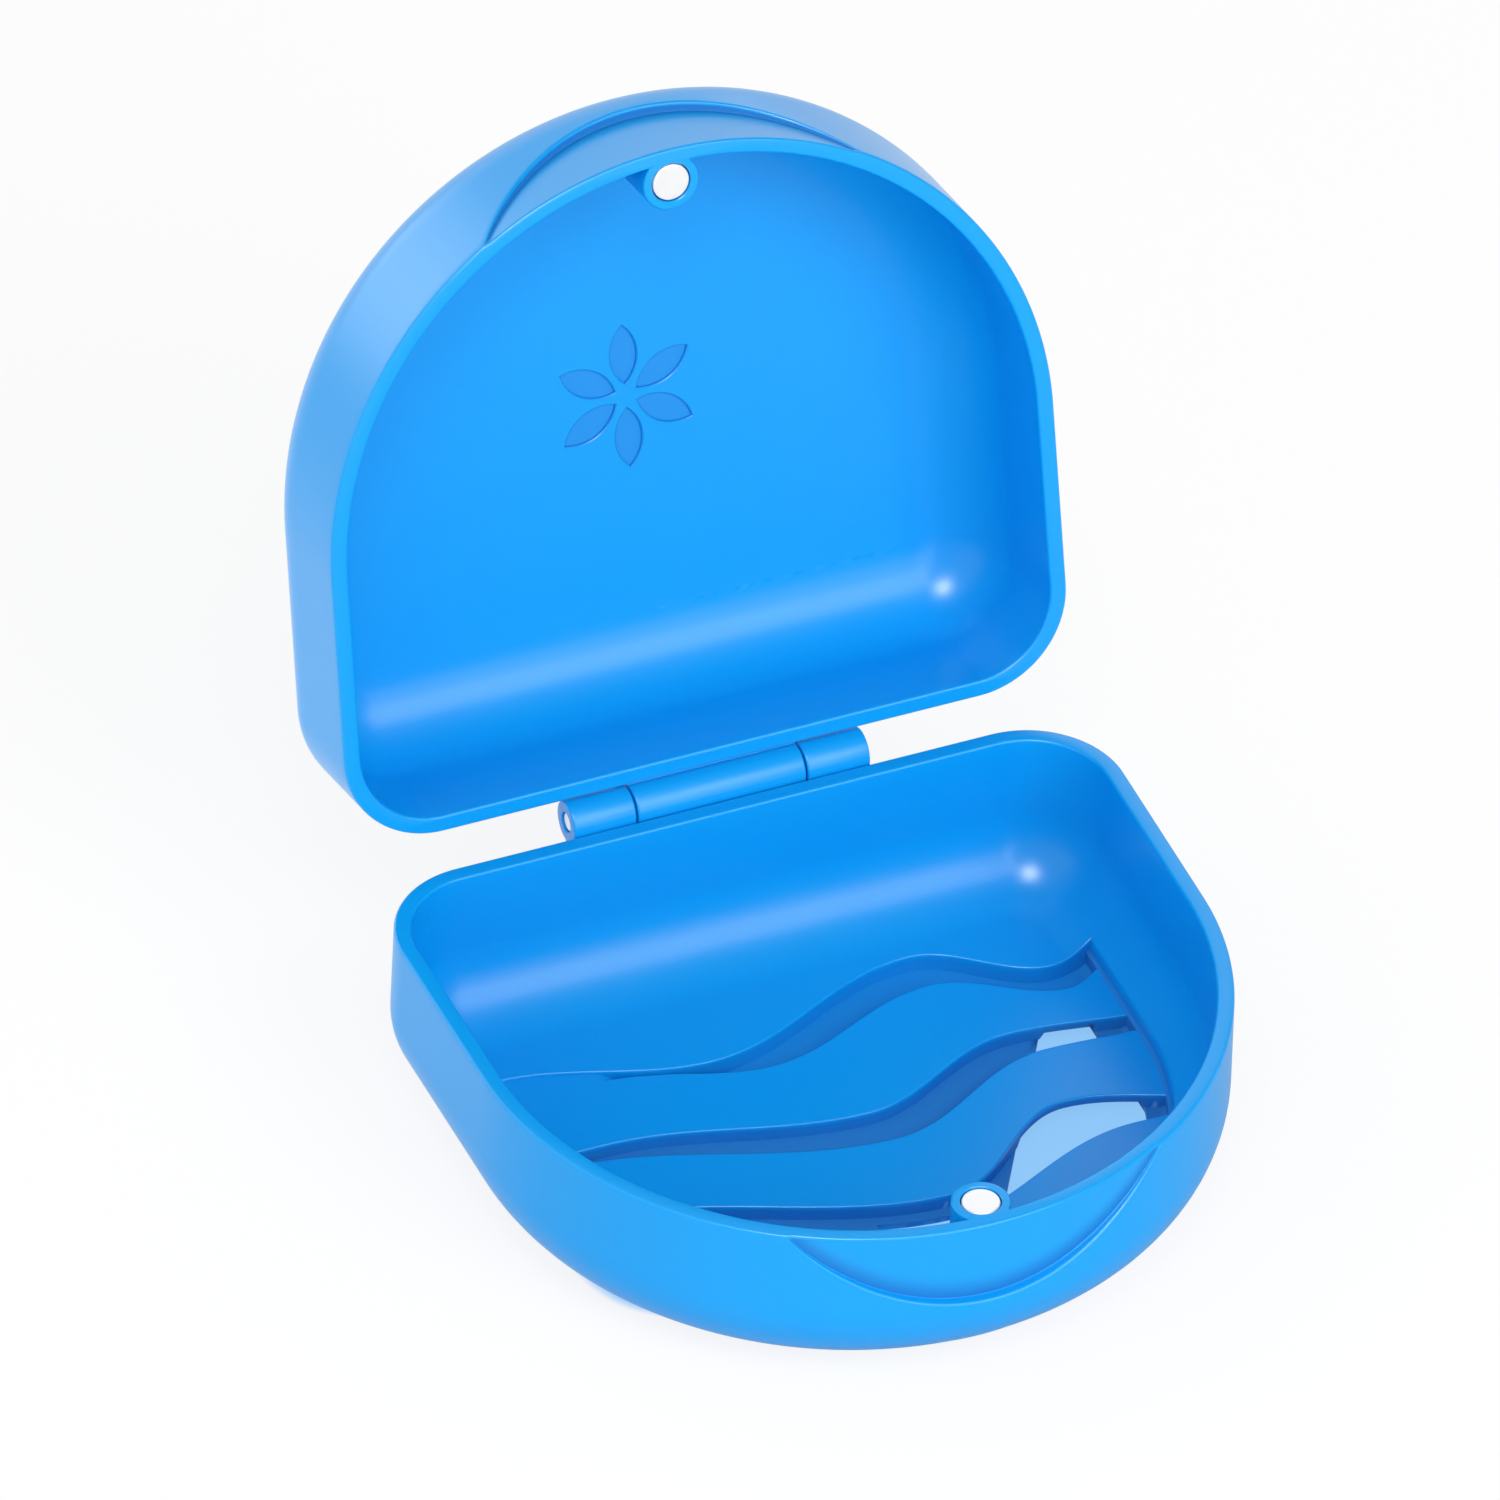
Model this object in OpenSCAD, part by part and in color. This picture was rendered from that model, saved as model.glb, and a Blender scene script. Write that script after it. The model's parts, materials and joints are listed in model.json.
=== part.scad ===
// Hinged clamshell case for an orthodontic retainer, shown standing open.
// X runs along the hinge, +Y points to the hinge side, +Z is up.
// The origin lies on the underside of the base, halfway between its front and its back edge.

/* [Outline] */
// Outside width at the rim, and diameter of the round front
case_w = 80; // [74:0.5:92]
// Straight side walls, from the back edge to the start of the round front
side_l = 31; // [28:0.5:40]
// Corner radius beside the hinge, at the rim
corner_r = 10.3; // [10.3:0.1:14]
// Wall thickness at the rim
wall = 1.8; // [1.6:0.1:2.2]
// Bevel along the outer edge of each rim
rim_bevel = 0.25; // [0.1:0.05:0.5]

/* [Base] */
// Height of the base, from the table to the rim
base_h = 20; // [18:0.2:26]
// Outside rounding between the base's wall and underside
base_round = 9.9; // [6:0.1:9.9]
// Inside rounding between the base's wall and floor
base_round_in = 7.8; // [5:0.2:7.8]
// Thickness of the base's floor
base_floor = 2.8; // [2.6:0.1:4]

/* [Lid] */
// Height of the lid, from its rim to its flat top
lid_h = 18.8; // [16:0.2:24]
// Outside rounding between the lid's wall and top
lid_round = 8; // [5:0.2:9.4]
// Inside rounding between the lid's wall and top
lid_round_in = 6.4; // [4:0.2:7.6]
// Thickness of the lid's top
lid_floor = 1.8; // [1.4:0.1:2.6]
// How far the lid stands open, counted from closed, in degrees
open_angle = 104; // [0:1:180]
// Gap between the two rims when the lid is shut
rim_gap = 0.2; // [0.1:0.05:0.4]

/* [Hinge] */
// Diameter of the hinge barrel
barrel_d = 4.5; // [3.6:0.1:5]
// Clearance between the barrel and the wall of the other half
barrel_gap = 0.15; // [0.15:0.05:0.6]
// Length of the whole barrel
barrel_l = 32.8; // [24:0.2:44]
// Length of the lid's middle knuckle
lid_knuckle_l = 18.6; // [12:0.2:20]
// End gap between neighbouring knuckles
knuckle_gap = 0.2; // [0.15:0.05:0.4]
// How far down the wall the knuckles' gussets reach
gusset_h = 5; // [3.5:0.1:6]
// How far the top of the gussets lies below the hinge axis
gusset_drop = 0.5; // [0.45:0.05:1]
// How deep the gussets are sunk in the wall
gusset_sink = 0.7; // [0.5:0.1:0.9]
// Diameter of the hinge pin
pin_d = 2; // [1.5:0.1:2.4]
// Radial running clearance of the pin in the lid's knuckle
pin_clearance = 0.05; // [0.03:0.01:0.08]
// How far each pin end lies inside the barrel
pin_inset = 0.2; // [0:0.05:0.6]

/* [Magnets] */
// Diameter of each disc magnet
magnet_d = 4; // [3:0.1:4.4]
// Thickness of each disc magnet
magnet_t = 2; // [1:0.1:3]
// Radial clearance of the magnet in its seat
magnet_clearance = 0.04; // [0.02:0.01:0.08]
// How far the magnet's face lies below the rim
magnet_inset = 0.1; // [0:0.05:0.3]
// Wall of the boss around the magnet's seat
boss_wall = 1.05; // [0.8:0.05:1.4]
// Distance of the magnet's middle from the front edge
magnet_from_front = 4; // [3.6:0.1:5]

/* [Thumb notch] */
// Width of the notch along the rim line, seen from the front
notch_w = 42; // [30:0.5:46]
// Depth of the notch below the rim
notch_h = 10; // [6:0.2:10]
// How deep the notch cuts into the wall at the rim
notch_rim_cut = 0.2; // [0.1:0.05:0.4]
// How deep the notch cuts into the wall at its foot
notch_foot_cut = 1.1; // [0.6:0.05:1.2]

/* [Vent floor] */
// How far the vent slats lie below the floor behind them
slat_sink = 0.4; // [0.2:0.05:0.6]
// Distance of the slat field's side edge from the outside of the rim
field_inset = 5.6; // [5:0.1:7]
// Least width of a groove, where it runs out
groove_min_w = 0.3; // [0.2:0.05:0.8]
// Floor left under the deep run of the grooves
groove_floor = 0.7; // [0.6:0.05:1]
// Distance of the grooves' deep run from the outside of the rim
groove_inset = 8.5; // [8.5:0.1:10]
// Depth of the grooves' shallow ends, where the underside is rounded
groove_end_depth = 0.8; // [0.5:0.05:0.9]
// Thickness of the slats above the vent window
slat_t = 0.95; // [0.8:0.05:1.2]
// Side edge of the vent window, from the middle of the case
window_x = 31; // [28:0.5:31]
// Back edge of the vent window, from the back edge of the base
window_back = 21.5; // [21:0.5:25]
// Front edge of the vent window, from the back edge of the base
window_front = 48.5; // [46:0.5:50]
// Width of the vent window along its back edge
window_back_w = 3.8; // [3:0.1:8]
// Width of the vent window along its front edge
window_front_w = 14.8; // [10:0.2:16]
// Bevel across the window's front outside corner
window_corner = 5; // [3:0.2:6]
// Left end of the drain slot in the front groove, from the middle
drain_left = -2; // [-8:0.5:0]
// Right end of the drain slot in the front groove, from the middle
drain_right = 6; // [3:0.5:9]
// Ledge left between the front groove's back wall and the drain slot
drain_ledge = 1.2; // [0.6:0.1:2]

/* [Ornament] */
// Number of petals of the rosette sunk in the lid
petal_n = 6; // [5:1:8]
// Outside radius of the rosette
rosette_r = 8.2; // [6:0.2:10]
// Free radius in the middle of the rosette
rosette_hub = 1.3; // [1:0.1:2]
// Radius of the arcs that bound each petal
petal_arc = 4.6; // [4.4:0.1:7]
// Depth of the rosette
rosette_depth = 0.35; // [0.2:0.05:0.5]
// Distance of the rosette's middle from the lid's back edge
rosette_from_back = 34.6; // [28:0.2:40]

/* [Hidden] */
$fn = 96;
half_w = case_w / 2;
case_l = side_l + half_w;
barrel_r = barrel_d / 2;
axis_out = barrel_r + barrel_gap;
axis_up = rim_gap / 2;
axis_y = case_l / 2 + axis_out;
axis_z = base_h + axis_up;
pin_r = pin_d / 2;
magnet_r = magnet_d / 2;
seat_r = magnet_r + magnet_clearance;
boss_r = seat_r + boss_wall;
magnet_y = magnet_from_front - case_l;
seat_depth = magnet_t + magnet_inset;
notch_r = (notch_w * notch_w / 4 + notch_h * notch_h) / (2 * notch_h);
slat_z = base_floor - slat_sink;
wave_steps = 26;
// Least flat left beside a rounding
flat_min = 0.3;
// How far a cut runs past the face that it opens
cut_over = 1;
// Turning points of the groove edges: [across from the middle, from the back edge]
groove_1_back = [[-31, -14], [-8.5, -18.9], [16.5, -11], [29.6, -17.4], [36.5, -15.9]];
groove_1_front = [[-19.5, -17.5], [-3, -21.3], [17, -15.3], [30.2, -20.75], [36, -18.4]];
groove_2_back = [[-24, -26.7], [3.5, -31.6], [21.5, -25.2], [38, -27.1]];
groove_2_front = [[-30, -28.4], [4.5, -36.2], [24, -28.7], [36, -29.3]];
groove_3_back = [[-30, -37], [6.5, -46.3], [22.6, -37], [40, -41.5]];
groove_3_front = [[-30, -39], [3, -50.5], [28, -42.5], [40, -43]];

// Eased line through turning points: level at each point, steepest between them.
function ease(a, b, t) = a + (b - a) * (1 - cos(180 * min(1, max(0, t)))) / 2;
function last_leg(p, x, i) = x <= p[i + 1][0] || i == len(p) - 2;
function leg_y(p, x, i) = ease(p[i][1], p[i + 1][1], (x - p[i][0]) / (p[i + 1][0] - p[i][0]));
function wave_y(p, x, i = 0) = last_leg(p, x, i) ? leg_y(p, x, i) : wave_y(p, x, i + 1);
function wave_x(x0, x1, i) = x0 + (x1 - x0) * i / (2 * wave_steps);
function back_pts(p, x0, x1) =
    [for (i = [0 : 2 * wave_steps]) let (x = wave_x(x0, x1, i)) [x, wave_y(p, x)]];
function front_y(p, q, x) = min(wave_y(q, x), wave_y(p, x) - groove_min_w);
function front_pts(p, q, x0, x1) =
    [for (i = [2 * wave_steps : -1 : 0]) let (x = wave_x(x0, x1, i)) [x, front_y(p, q, x)]];

// Wall section of a bowl: reach is the wall's distance from the section's axis.
module section(reach, h, r, over, bevel) {
    top = h + over;
    polygon([
        [0, 0], [reach - r, 0], [reach - r, r], [reach, r],
        [reach, top - bevel], [reach - bevel, top], [0, top]
    ]);
    intersection() {
        translate([reach - r, r]) circle(r);
        translate([reach - r, 0]) square(r);
    }
}

// Solid with the case's outline: straight back edge at y = 0, corners, sides and a round front.
module outline_solid(inset, h, rounding, over, bevel) {
    c = corner_r - inset;
    r = min(rounding, c - flat_min);
    reach = half_w - inset;
    side = half_w - corner_r;
    run = side_l - corner_r;
    translate([0, -side_l, 0]) rotate([0, 0, 180])
        rotate_extrude(angle = 180) section(reach, h, r, over, bevel);
    translate([side, -corner_r, 0])
        rotate_extrude(angle = 90) section(c, h, r, over, bevel);
    translate([-side, -corner_r, 0]) rotate([0, 0, 90])
        rotate_extrude(angle = 90) section(c, h, r, over, bevel);
    translate([side, -corner_r, 0]) rotate([90, 0, 0])
        linear_extrude(run) section(c, h, r, over, bevel);
    translate([-side, -side_l, 0]) rotate([90, 0, 180])
        linear_extrude(run) section(c, h, r, over, bevel);
    translate([-side, -corner_r, 0]) rotate([90, 0, 90])
        linear_extrude(2 * side) section(c, h, r, over, bevel);
    translate([-side, -side_l, 0]) cube([2 * side, run, h + over]);
}

// Flat outline, moved in from the rim line.
module outline_2d(inset) {
    side = half_w - corner_r;
    c = corner_r - inset;
    translate([0, -side_l]) circle(half_w - inset);
    translate([inset - half_w, -side_l]) square([case_w - 2 * inset, side_l - corner_r]);
    translate([-side, -side_l]) square([2 * side, side_l - inset]);
    for (s = [-1, 1]) translate([s * side, -corner_r]) circle(c);
}

// Crescent scooped out of the front of a rim, for the thumb.
module notch(h) {
    reach = half_w + cut_over;
    top = h + cut_over;
    foot = h - notch_h - cut_over;
    slope = (notch_foot_cut - notch_rim_cut) / notch_h;
    face = half_w - notch_rim_cut;
    intersection() {
        translate([0, -side_l, 0]) rotate([0, 0, 180]) rotate_extrude(angle = 180) polygon([
            [face + slope * (top - h), top], [reach, top], [reach, foot], [face + slope * (foot - h), foot]
        ]);
        translate([0, -side_l, h + notch_r - notch_h]) rotate([90, 0, 0])
            cylinder(r = notch_r, h = case_w);
    }
}

// Column around the magnet's seat, from the floor to above the rim.
module boss(z0, h) {
    translate([0, magnet_y, z0]) cylinder(r = boss_r, h = h - z0 + 2 * cut_over);
}

module magnet_seat(h) {
    translate([0, magnet_y, h - seat_depth]) cylinder(r = seat_r, h = seat_depth + cut_over);
}

module magnet(h) {
    translate([0, magnet_y, h - seat_depth]) cylinder(r = magnet_r, h = magnet_t);
}

// Barrel piece along X with a gusset to the wall; toward is 1 when the wall lies at +Y.
module knuckle(x0, x1, toward) {
    root = toward * (axis_out + gusset_sink);
    translate([x0, 0, 0]) rotate([90, 0, 90]) linear_extrude(x1 - x0) {
        circle(barrel_r);
        polygon([[0, -gusset_drop], [root, -gusset_drop], [root, -gusset_h], [0, -barrel_r]]);
    }
}

module bore(r, x0, x1) {
    translate([x0, 0, 0]) rotate([0, 90, 0]) cylinder(r = r, h = x1 - x0);
}

// Wavy groove between two slats, ended at a distance from the rim line.
module groove_2d(back, front, x0, inset) {
    x1 = half_w - field_inset + cut_over;
    intersection() {
        outline_2d(inset);
        polygon(concat(back_pts(back, x0, x1), front_pts(back, front, x0, x1)));
    }
}

module groove(back, front, x0) {
    translate([0, 0, slat_z - groove_end_depth])
        linear_extrude(base_floor) groove_2d(back, front, x0, field_inset);
    translate([0, 0, groove_floor])
        linear_extrude(base_floor) groove_2d(back, front, x0, groove_inset);
}

// Slat field: the whole floor in front of the first groove's back edge.
module field_2d() {
    intersection() {
        outline_2d(field_inset);
        polygon(concat(back_pts(groove_1_back, -half_w, half_w), [[half_w, -case_l], [-half_w, -case_l]]));
    }
}

// Vent window under the slats, kept clear of the grooves' shallow ends.
module window_2d() {
    intersection() {
        outline_2d(groove_inset);
        polygon([
            [window_x - window_back_w, -window_back], [window_x, -window_back],
            [window_x, window_corner - window_front], [window_x - window_corner, -window_front],
            [window_x - window_corner - window_front_w, -window_front]
        ]);
    }
}

module drain_2d(x0) {
    intersection() {
        groove_2d(groove_3_back, groove_3_front, x0, groove_inset);
        translate([0, -drain_ledge]) groove_2d(groove_3_back, groove_3_front, x0, groove_inset);
        translate([drain_left, -case_l]) square([drain_right - drain_left, case_l]);
    }
}

module vent_floor_cut() {
    left = field_inset - half_w - cut_over;
    translate([0, 0, slat_z]) linear_extrude(base_round_in) field_2d();
    groove(groove_1_back, groove_1_front, groove_1_front[0][0]);
    groove(groove_2_back, groove_2_front, left);
    groove(groove_3_back, groove_3_front, left);
    translate([0, 0, -cut_over]) linear_extrude(slat_z - slat_t + cut_over) window_2d();
    translate([0, 0, -cut_over]) linear_extrude(base_floor) drain_2d(left);
}

// Petal between two arcs, pointing away from the middle.
module petal_2d() {
    half = (rosette_r - rosette_hub) / 2;
    shift = sqrt(petal_arc * petal_arc - half * half);
    translate([rosette_hub + half, 0]) intersection() {
        translate([0, shift]) circle(petal_arc);
        translate([0, -shift]) circle(petal_arc);
    }
}

module rosette_cut() {
    translate([0, -rosette_from_back, lid_floor - rosette_depth]) linear_extrude(lid_floor)
        for (i = [0 : petal_n - 1]) rotate(90 + 360 * i / petal_n) petal_2d();
}

module base_shell() {
    color([0.05, 0.55, 0.95]) translate([0, case_l / 2, 0]) difference() {
        union() {
            difference() {
                outline_solid(0, base_h, base_round, 0, rim_bevel);
                difference() {
                    union() {
                        translate([0, 0, base_floor])
                            outline_solid(wall, base_h - base_floor, base_round_in, cut_over, 0);
                        vent_floor_cut();
                    }
                    boss(groove_floor, base_h);
                }
                notch(base_h);
                magnet_seat(base_h);
            }
            translate([0, axis_out, axis_z]) {
                knuckle(-barrel_l / 2, -lid_knuckle_l / 2 - knuckle_gap, -1);
                knuckle(lid_knuckle_l / 2 + knuckle_gap, barrel_l / 2, -1);
            }
        }
        translate([0, axis_out, axis_z]) bore(pin_r, -barrel_l, barrel_l);
    }
}

// Turns a lid that lies wide open, hinge line on the X axis, to its place.
module lid_place() {
    translate([0, axis_y, axis_z]) rotate([180 - open_angle, 0, 0]) children();
}

// Puts a shape in the lid's bowl frame, back edge toward the hinge line.
module lid_bowl_place() {
    translate([0, axis_out, -axis_up - lid_h]) rotate([0, 0, 180]) children();
}

module lid_shell() {
    color([0.05, 0.55, 0.95]) lid_place() difference() {
        union() {
            lid_bowl_place() difference() {
                outline_solid(0, lid_h, lid_round, 0, rim_bevel);
                difference() {
                    translate([0, 0, lid_floor])
                        outline_solid(wall, lid_h - lid_floor, lid_round_in, cut_over, 0);
                    boss(lid_floor / 2, lid_h);
                }
                notch(lid_h);
                magnet_seat(lid_h);
                rosette_cut();
            }
            knuckle(-lid_knuckle_l / 2, lid_knuckle_l / 2, 1);
        }
        bore(pin_r + pin_clearance, -lid_knuckle_l, lid_knuckle_l);
    }
}

module hinge_pin() {
    color([0.85, 0.86, 0.88]) translate([0, axis_y, axis_z])
        bore(pin_r, pin_inset - barrel_l / 2, barrel_l / 2 - pin_inset);
}

module base_magnet() {
    color([0.9, 0.9, 0.92]) translate([0, case_l / 2, 0]) magnet(base_h);
}

module lid_magnet() {
    color([0.9, 0.9, 0.92]) lid_place() lid_bowl_place() magnet(lid_h);
}

base_shell();
lid_shell();
hinge_pin();
base_magnet();
lid_magnet();
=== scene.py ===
"""Looks of an open clamshell case for an orthodontic retainer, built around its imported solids.

Each rigid piece is worked out again as smooth surfaces at the solids' own size and place, with the edge
roundings of a moulded part, and gets its finish. Lengths are in millimetres until a mesh is written.
A bowl is drawn in its own plan: x along the hinge, y = 0 at its back edge with the front at negative y,
z = 0 at its closed face and the rim on top.
"""

import json
import logging
import math
from collections.abc import Callable, Sequence
from dataclasses import dataclass, field
from enum import Enum
from functools import partial

import bmesh
import bpy
import numpy as np
from mathutils import Matrix, Vector
from mathutils.geometry import tessellate_polygon


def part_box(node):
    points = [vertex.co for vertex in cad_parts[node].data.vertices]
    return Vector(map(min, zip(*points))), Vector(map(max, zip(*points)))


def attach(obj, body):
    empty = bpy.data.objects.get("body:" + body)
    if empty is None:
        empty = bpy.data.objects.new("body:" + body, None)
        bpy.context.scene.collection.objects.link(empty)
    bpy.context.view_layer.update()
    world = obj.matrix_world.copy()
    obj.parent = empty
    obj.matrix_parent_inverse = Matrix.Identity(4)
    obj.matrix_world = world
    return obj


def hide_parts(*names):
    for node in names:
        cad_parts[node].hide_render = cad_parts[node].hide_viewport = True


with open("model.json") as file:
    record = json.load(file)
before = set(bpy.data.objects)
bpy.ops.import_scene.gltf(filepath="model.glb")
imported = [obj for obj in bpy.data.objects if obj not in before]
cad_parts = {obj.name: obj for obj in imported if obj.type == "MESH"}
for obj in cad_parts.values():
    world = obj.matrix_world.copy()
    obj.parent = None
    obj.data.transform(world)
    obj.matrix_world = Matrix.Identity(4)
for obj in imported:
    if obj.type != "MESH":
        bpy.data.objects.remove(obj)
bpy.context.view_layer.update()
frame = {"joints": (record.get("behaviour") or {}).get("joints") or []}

LOG = logging.getLogger("retainer_case")
MM = 0.001
MERGE_MM = 0.002
SHARP_DEG = 36.0
PHOTO_PX = 1500
# Mesh attribute of painted shade: the blue finish darkens its colour by it in grooves and hollows
SHADE_ATTRIBUTE = "painted_groove_shade"
RAYS = ("Camera", "Glossy", "Transmission")
BEND_STEPS = 5
# The Mix node has a set of sockets for each data type, so its colour sockets go by number
MIX_FIRST, MIX_SECOND, MIX_RESULT = 6, 7, 2

Pair = tuple[float, float]
Triple = tuple[float, float, float]
Facing = Triple | None
Run = tuple[np.ndarray, np.ndarray, np.ndarray]
Curve = Callable[[np.ndarray], np.ndarray]
Height = Callable[[np.ndarray, np.ndarray], np.ndarray]
UP: Facing = (0.0, 0.0, 1.0)
DOWN: Facing = (0.0, 0.0, -1.0)
RIGHT: Facing = (1.0, 0.0, 0.0)
LEFT: Facing = (-1.0, 0.0, 0.0)
BACK: Facing = (0.0, 1.0, 0.0)
FRONT: Facing = (0.0, -1.0, 0.0)
WHITE: Triple = (1.0, 1.0, 1.0)


def smooth(t: np.ndarray) -> np.ndarray:
    """Eases 0..1: 3 t^2 - 2 t^3, held outside that range.

    Args:
        t: values to ease.

    Returns:
        The eased values.
    """
    held = np.clip(t, 0.0, 1.0)
    return held * held * (3.0 - 2.0 * held)


def quarter(count: int) -> np.ndarray:
    """Angles of a quarter turn in equal steps, as a column of count + 1 rows."""
    return np.linspace(0.0, math.pi / 2, count + 1)[:, None]


def circle(count: int) -> np.ndarray:
    """Angles once round in equal steps, as a row of count columns."""
    return np.linspace(0.0, 2 * math.pi, count, endpoint=False)[None, :]


def climb(count: int) -> np.ndarray:
    """Shares of a way in equal steps, from the first step to 1, as a column of count rows."""
    return np.linspace(0.0, 1.0, count + 1)[1:, None]


def line_at(y: float) -> Curve:
    """Line straight across, as a function of x."""
    return lambda x: y + 0 * x


def level_at(height: float) -> Height:
    """The same height everywhere, as a function of x and y."""
    return lambda x, y: height + 0 * x


def no_painted_shade(x: np.ndarray) -> np.ndarray:
    """No painted shade along a line that lies in no groove."""
    return 0 * x


def stack(x: np.ndarray, y: np.ndarray, z: np.ndarray | float) -> np.ndarray:
    """Joins three arrays that broadcast together into points, along a new last axis."""
    return np.stack(np.broadcast_arrays(x, y, z), axis=-1).astype(float)


def eased_line(turns: Sequence[Pair]) -> Curve:
    """Line through turning points, level at each of them: half a cosine wave from one to the next.

    Args:
        turns: the turning points (x, y), with x rising.

    Returns:
        The line as a function of x, held level beyond its ends.
    """
    px, py = np.array(turns, float).T

    def line(x: np.ndarray) -> np.ndarray:
        """Height of the line.

        Args:
            x: places across.

        Returns:
            The heights there.
        """
        leg = np.clip(np.searchsorted(px, x) - 1, 0, len(px) - 2)
        t = np.clip((x - px[leg]) / (px[leg + 1] - px[leg]), 0.0, 1.0)
        return py[leg] + (py[leg + 1] - py[leg]) * (1.0 - np.cos(math.pi * t)) / 2.0

    return line


class Draft:
    """Surface patches of one piece, in millimetres, gathered for one mesh."""

    def __init__(self) -> None:
        """Starts with no points and no faces."""
        self._points: list[np.ndarray] = []
        self._painted_shade: list[np.ndarray] = []
        self._faces: list[list[int]] = []
        self._count = 0

    def _store(self, points: np.ndarray, faces: np.ndarray, facing: Facing, depth: np.ndarray) -> None:
        """Keeps a patch, turned over if it looks the wrong way.

        Args:
            points: n x 3.
            faces: m x 3 or m x 4 indices of those points.
            facing: direction that the patch looks in on the whole, or None for a closed surface.
            depth: how much painted shade each point gets, from 0 to 1.
        """
        corner = points[faces]
        area = np.cross(corner[:, 2] - corner[:, 0], corner[:, -1] - corner[:, 1])
        look = corner.mean(axis=1) - points.mean(axis=0) if facing is None else np.array(facing)
        turned = faces if (area * look).sum() > 0 else faces[:, ::-1]
        self._faces += (turned + self._count).tolist()
        self._points.append(points)
        self._painted_shade.append(depth)
        self._count += len(points)

    def grid(
        self, points: np.ndarray, closed: bool = False, facing: Facing = None, depth: np.ndarray | float = 0.0
    ) -> None:
        """Adds a grid of four-sided faces.

        Args:
            points: rows x columns x 3.
            closed: joins the last column to the first.
            facing: direction that the patch looks in, or None for a closed surface.
            depth: how much painted shade the points get, rows x columns or one value.
        """
        rows, columns = points.shape[:2]
        index = np.arange(rows * columns).reshape(rows, columns)
        if closed:
            index = np.hstack([index, index[:, :1]])
        corners = [index[:-1, :-1], index[:-1, 1:], index[1:, 1:], index[1:, :-1]]
        faces = np.stack(corners, axis=-1).reshape(-1, 4)
        painted_shade = np.broadcast_to(depth, (rows, columns)).reshape(-1)
        self._store(points.reshape(-1, 3), faces, facing, painted_shade)

    def plate(self, facing: Facing, *loops: np.ndarray, depth: float = 0.0) -> None:
        """Fills a flat area with triangles: inside the first loop, outside the others.

        Args:
            facing: direction that the area looks in.
            loops: closed outlines, each n x 3.
            depth: how much painted shade the area gets.
        """
        points = np.concatenate(loops)
        outlines = [[Vector(p) for p in loop] for loop in loops]
        self._store(points, np.array(tessellate_polygon(outlines)), facing, np.full(len(points), depth))

    def piece(self, name: str, place: Matrix) -> bpy.types.Object:
        """Writes the mesh in metres, merged and smooth between its sharp edges.

        Args:
            name: the piece's name.
            place: matrix from the draft's frame, in millimetres, to the row frame, in millimetres.

        Returns:
            The new object, at the origin.
        """
        turn = np.array(place, float)
        points = (np.concatenate(self._points) @ turn[:3, :3].T + turn[:3, 3]) * MM
        mesh = bpy.data.meshes.new(name)
        mesh.from_pydata(points.tolist(), [], self._faces)
        # Keeps the painted shade of each point as a mesh attribute
        mesh.attributes.new(SHADE_ATTRIBUTE, "FLOAT", "POINT").data.foreach_set("value", np.concatenate(self._painted_shade))
        work = bmesh.new()
        work.from_mesh(mesh)
        bmesh.ops.remove_doubles(work, verts=work.verts, dist=MERGE_MM * MM)
        bmesh.ops.dissolve_degenerate(work, edges=work.edges, dist=MERGE_MM * MM / 4)
        work.to_mesh(mesh)
        work.free()
        mesh.shade_smooth()
        mesh.set_sharp_from_angle(angle=math.radians(SHARP_DEG))
        made = bpy.data.objects.new(name, mesh)
        bpy.context.scene.collection.objects.link(made)
        return made


def straight_run(start: Pair, end: Pair, out: Pair, n: int) -> Run:
    """Straight stretch of a rim line, without its end: the weighted mean of its two ends.

    Args:
        start: first point.
        end: where the next stretch begins.
        out: outward direction.
        n: number of points.

    Returns:
        Points, outward directions, and half a turn for each angle, as it isn't on the round front.
    """
    t = np.linspace(0.0, 1.0, n, endpoint=False)[:, None]
    points = np.array(start) * (1 - t) + np.array(end) * t
    return points, np.tile(out, (n, 1)), np.full(n, math.pi)


def arc_run(centre: Pair, radius: float, start: float, sweep: float, n: int, front: bool = False) -> Run:
    """Arc of a rim line, without its end: the centre plus the radius times the outward direction.

    Args:
        centre: the arc's centre.
        radius: its radius.
        start: direction of its first point, in degrees.
        sweep: how far it turns, in degrees.
        n: number of points.
        front: whether it is the round front.

    Returns:
        Points, outward directions, and angles from straight ahead on the round front, else half a turn.
    """
    a = np.radians(start + sweep * np.linspace(0.0, 1.0, n, endpoint=False))
    out = np.stack([np.cos(a), np.sin(a)], axis=1)
    lean = a - math.radians(270.0) if front else np.full(n, math.pi)
    return np.array(centre) + radius * out, out, lean


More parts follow.
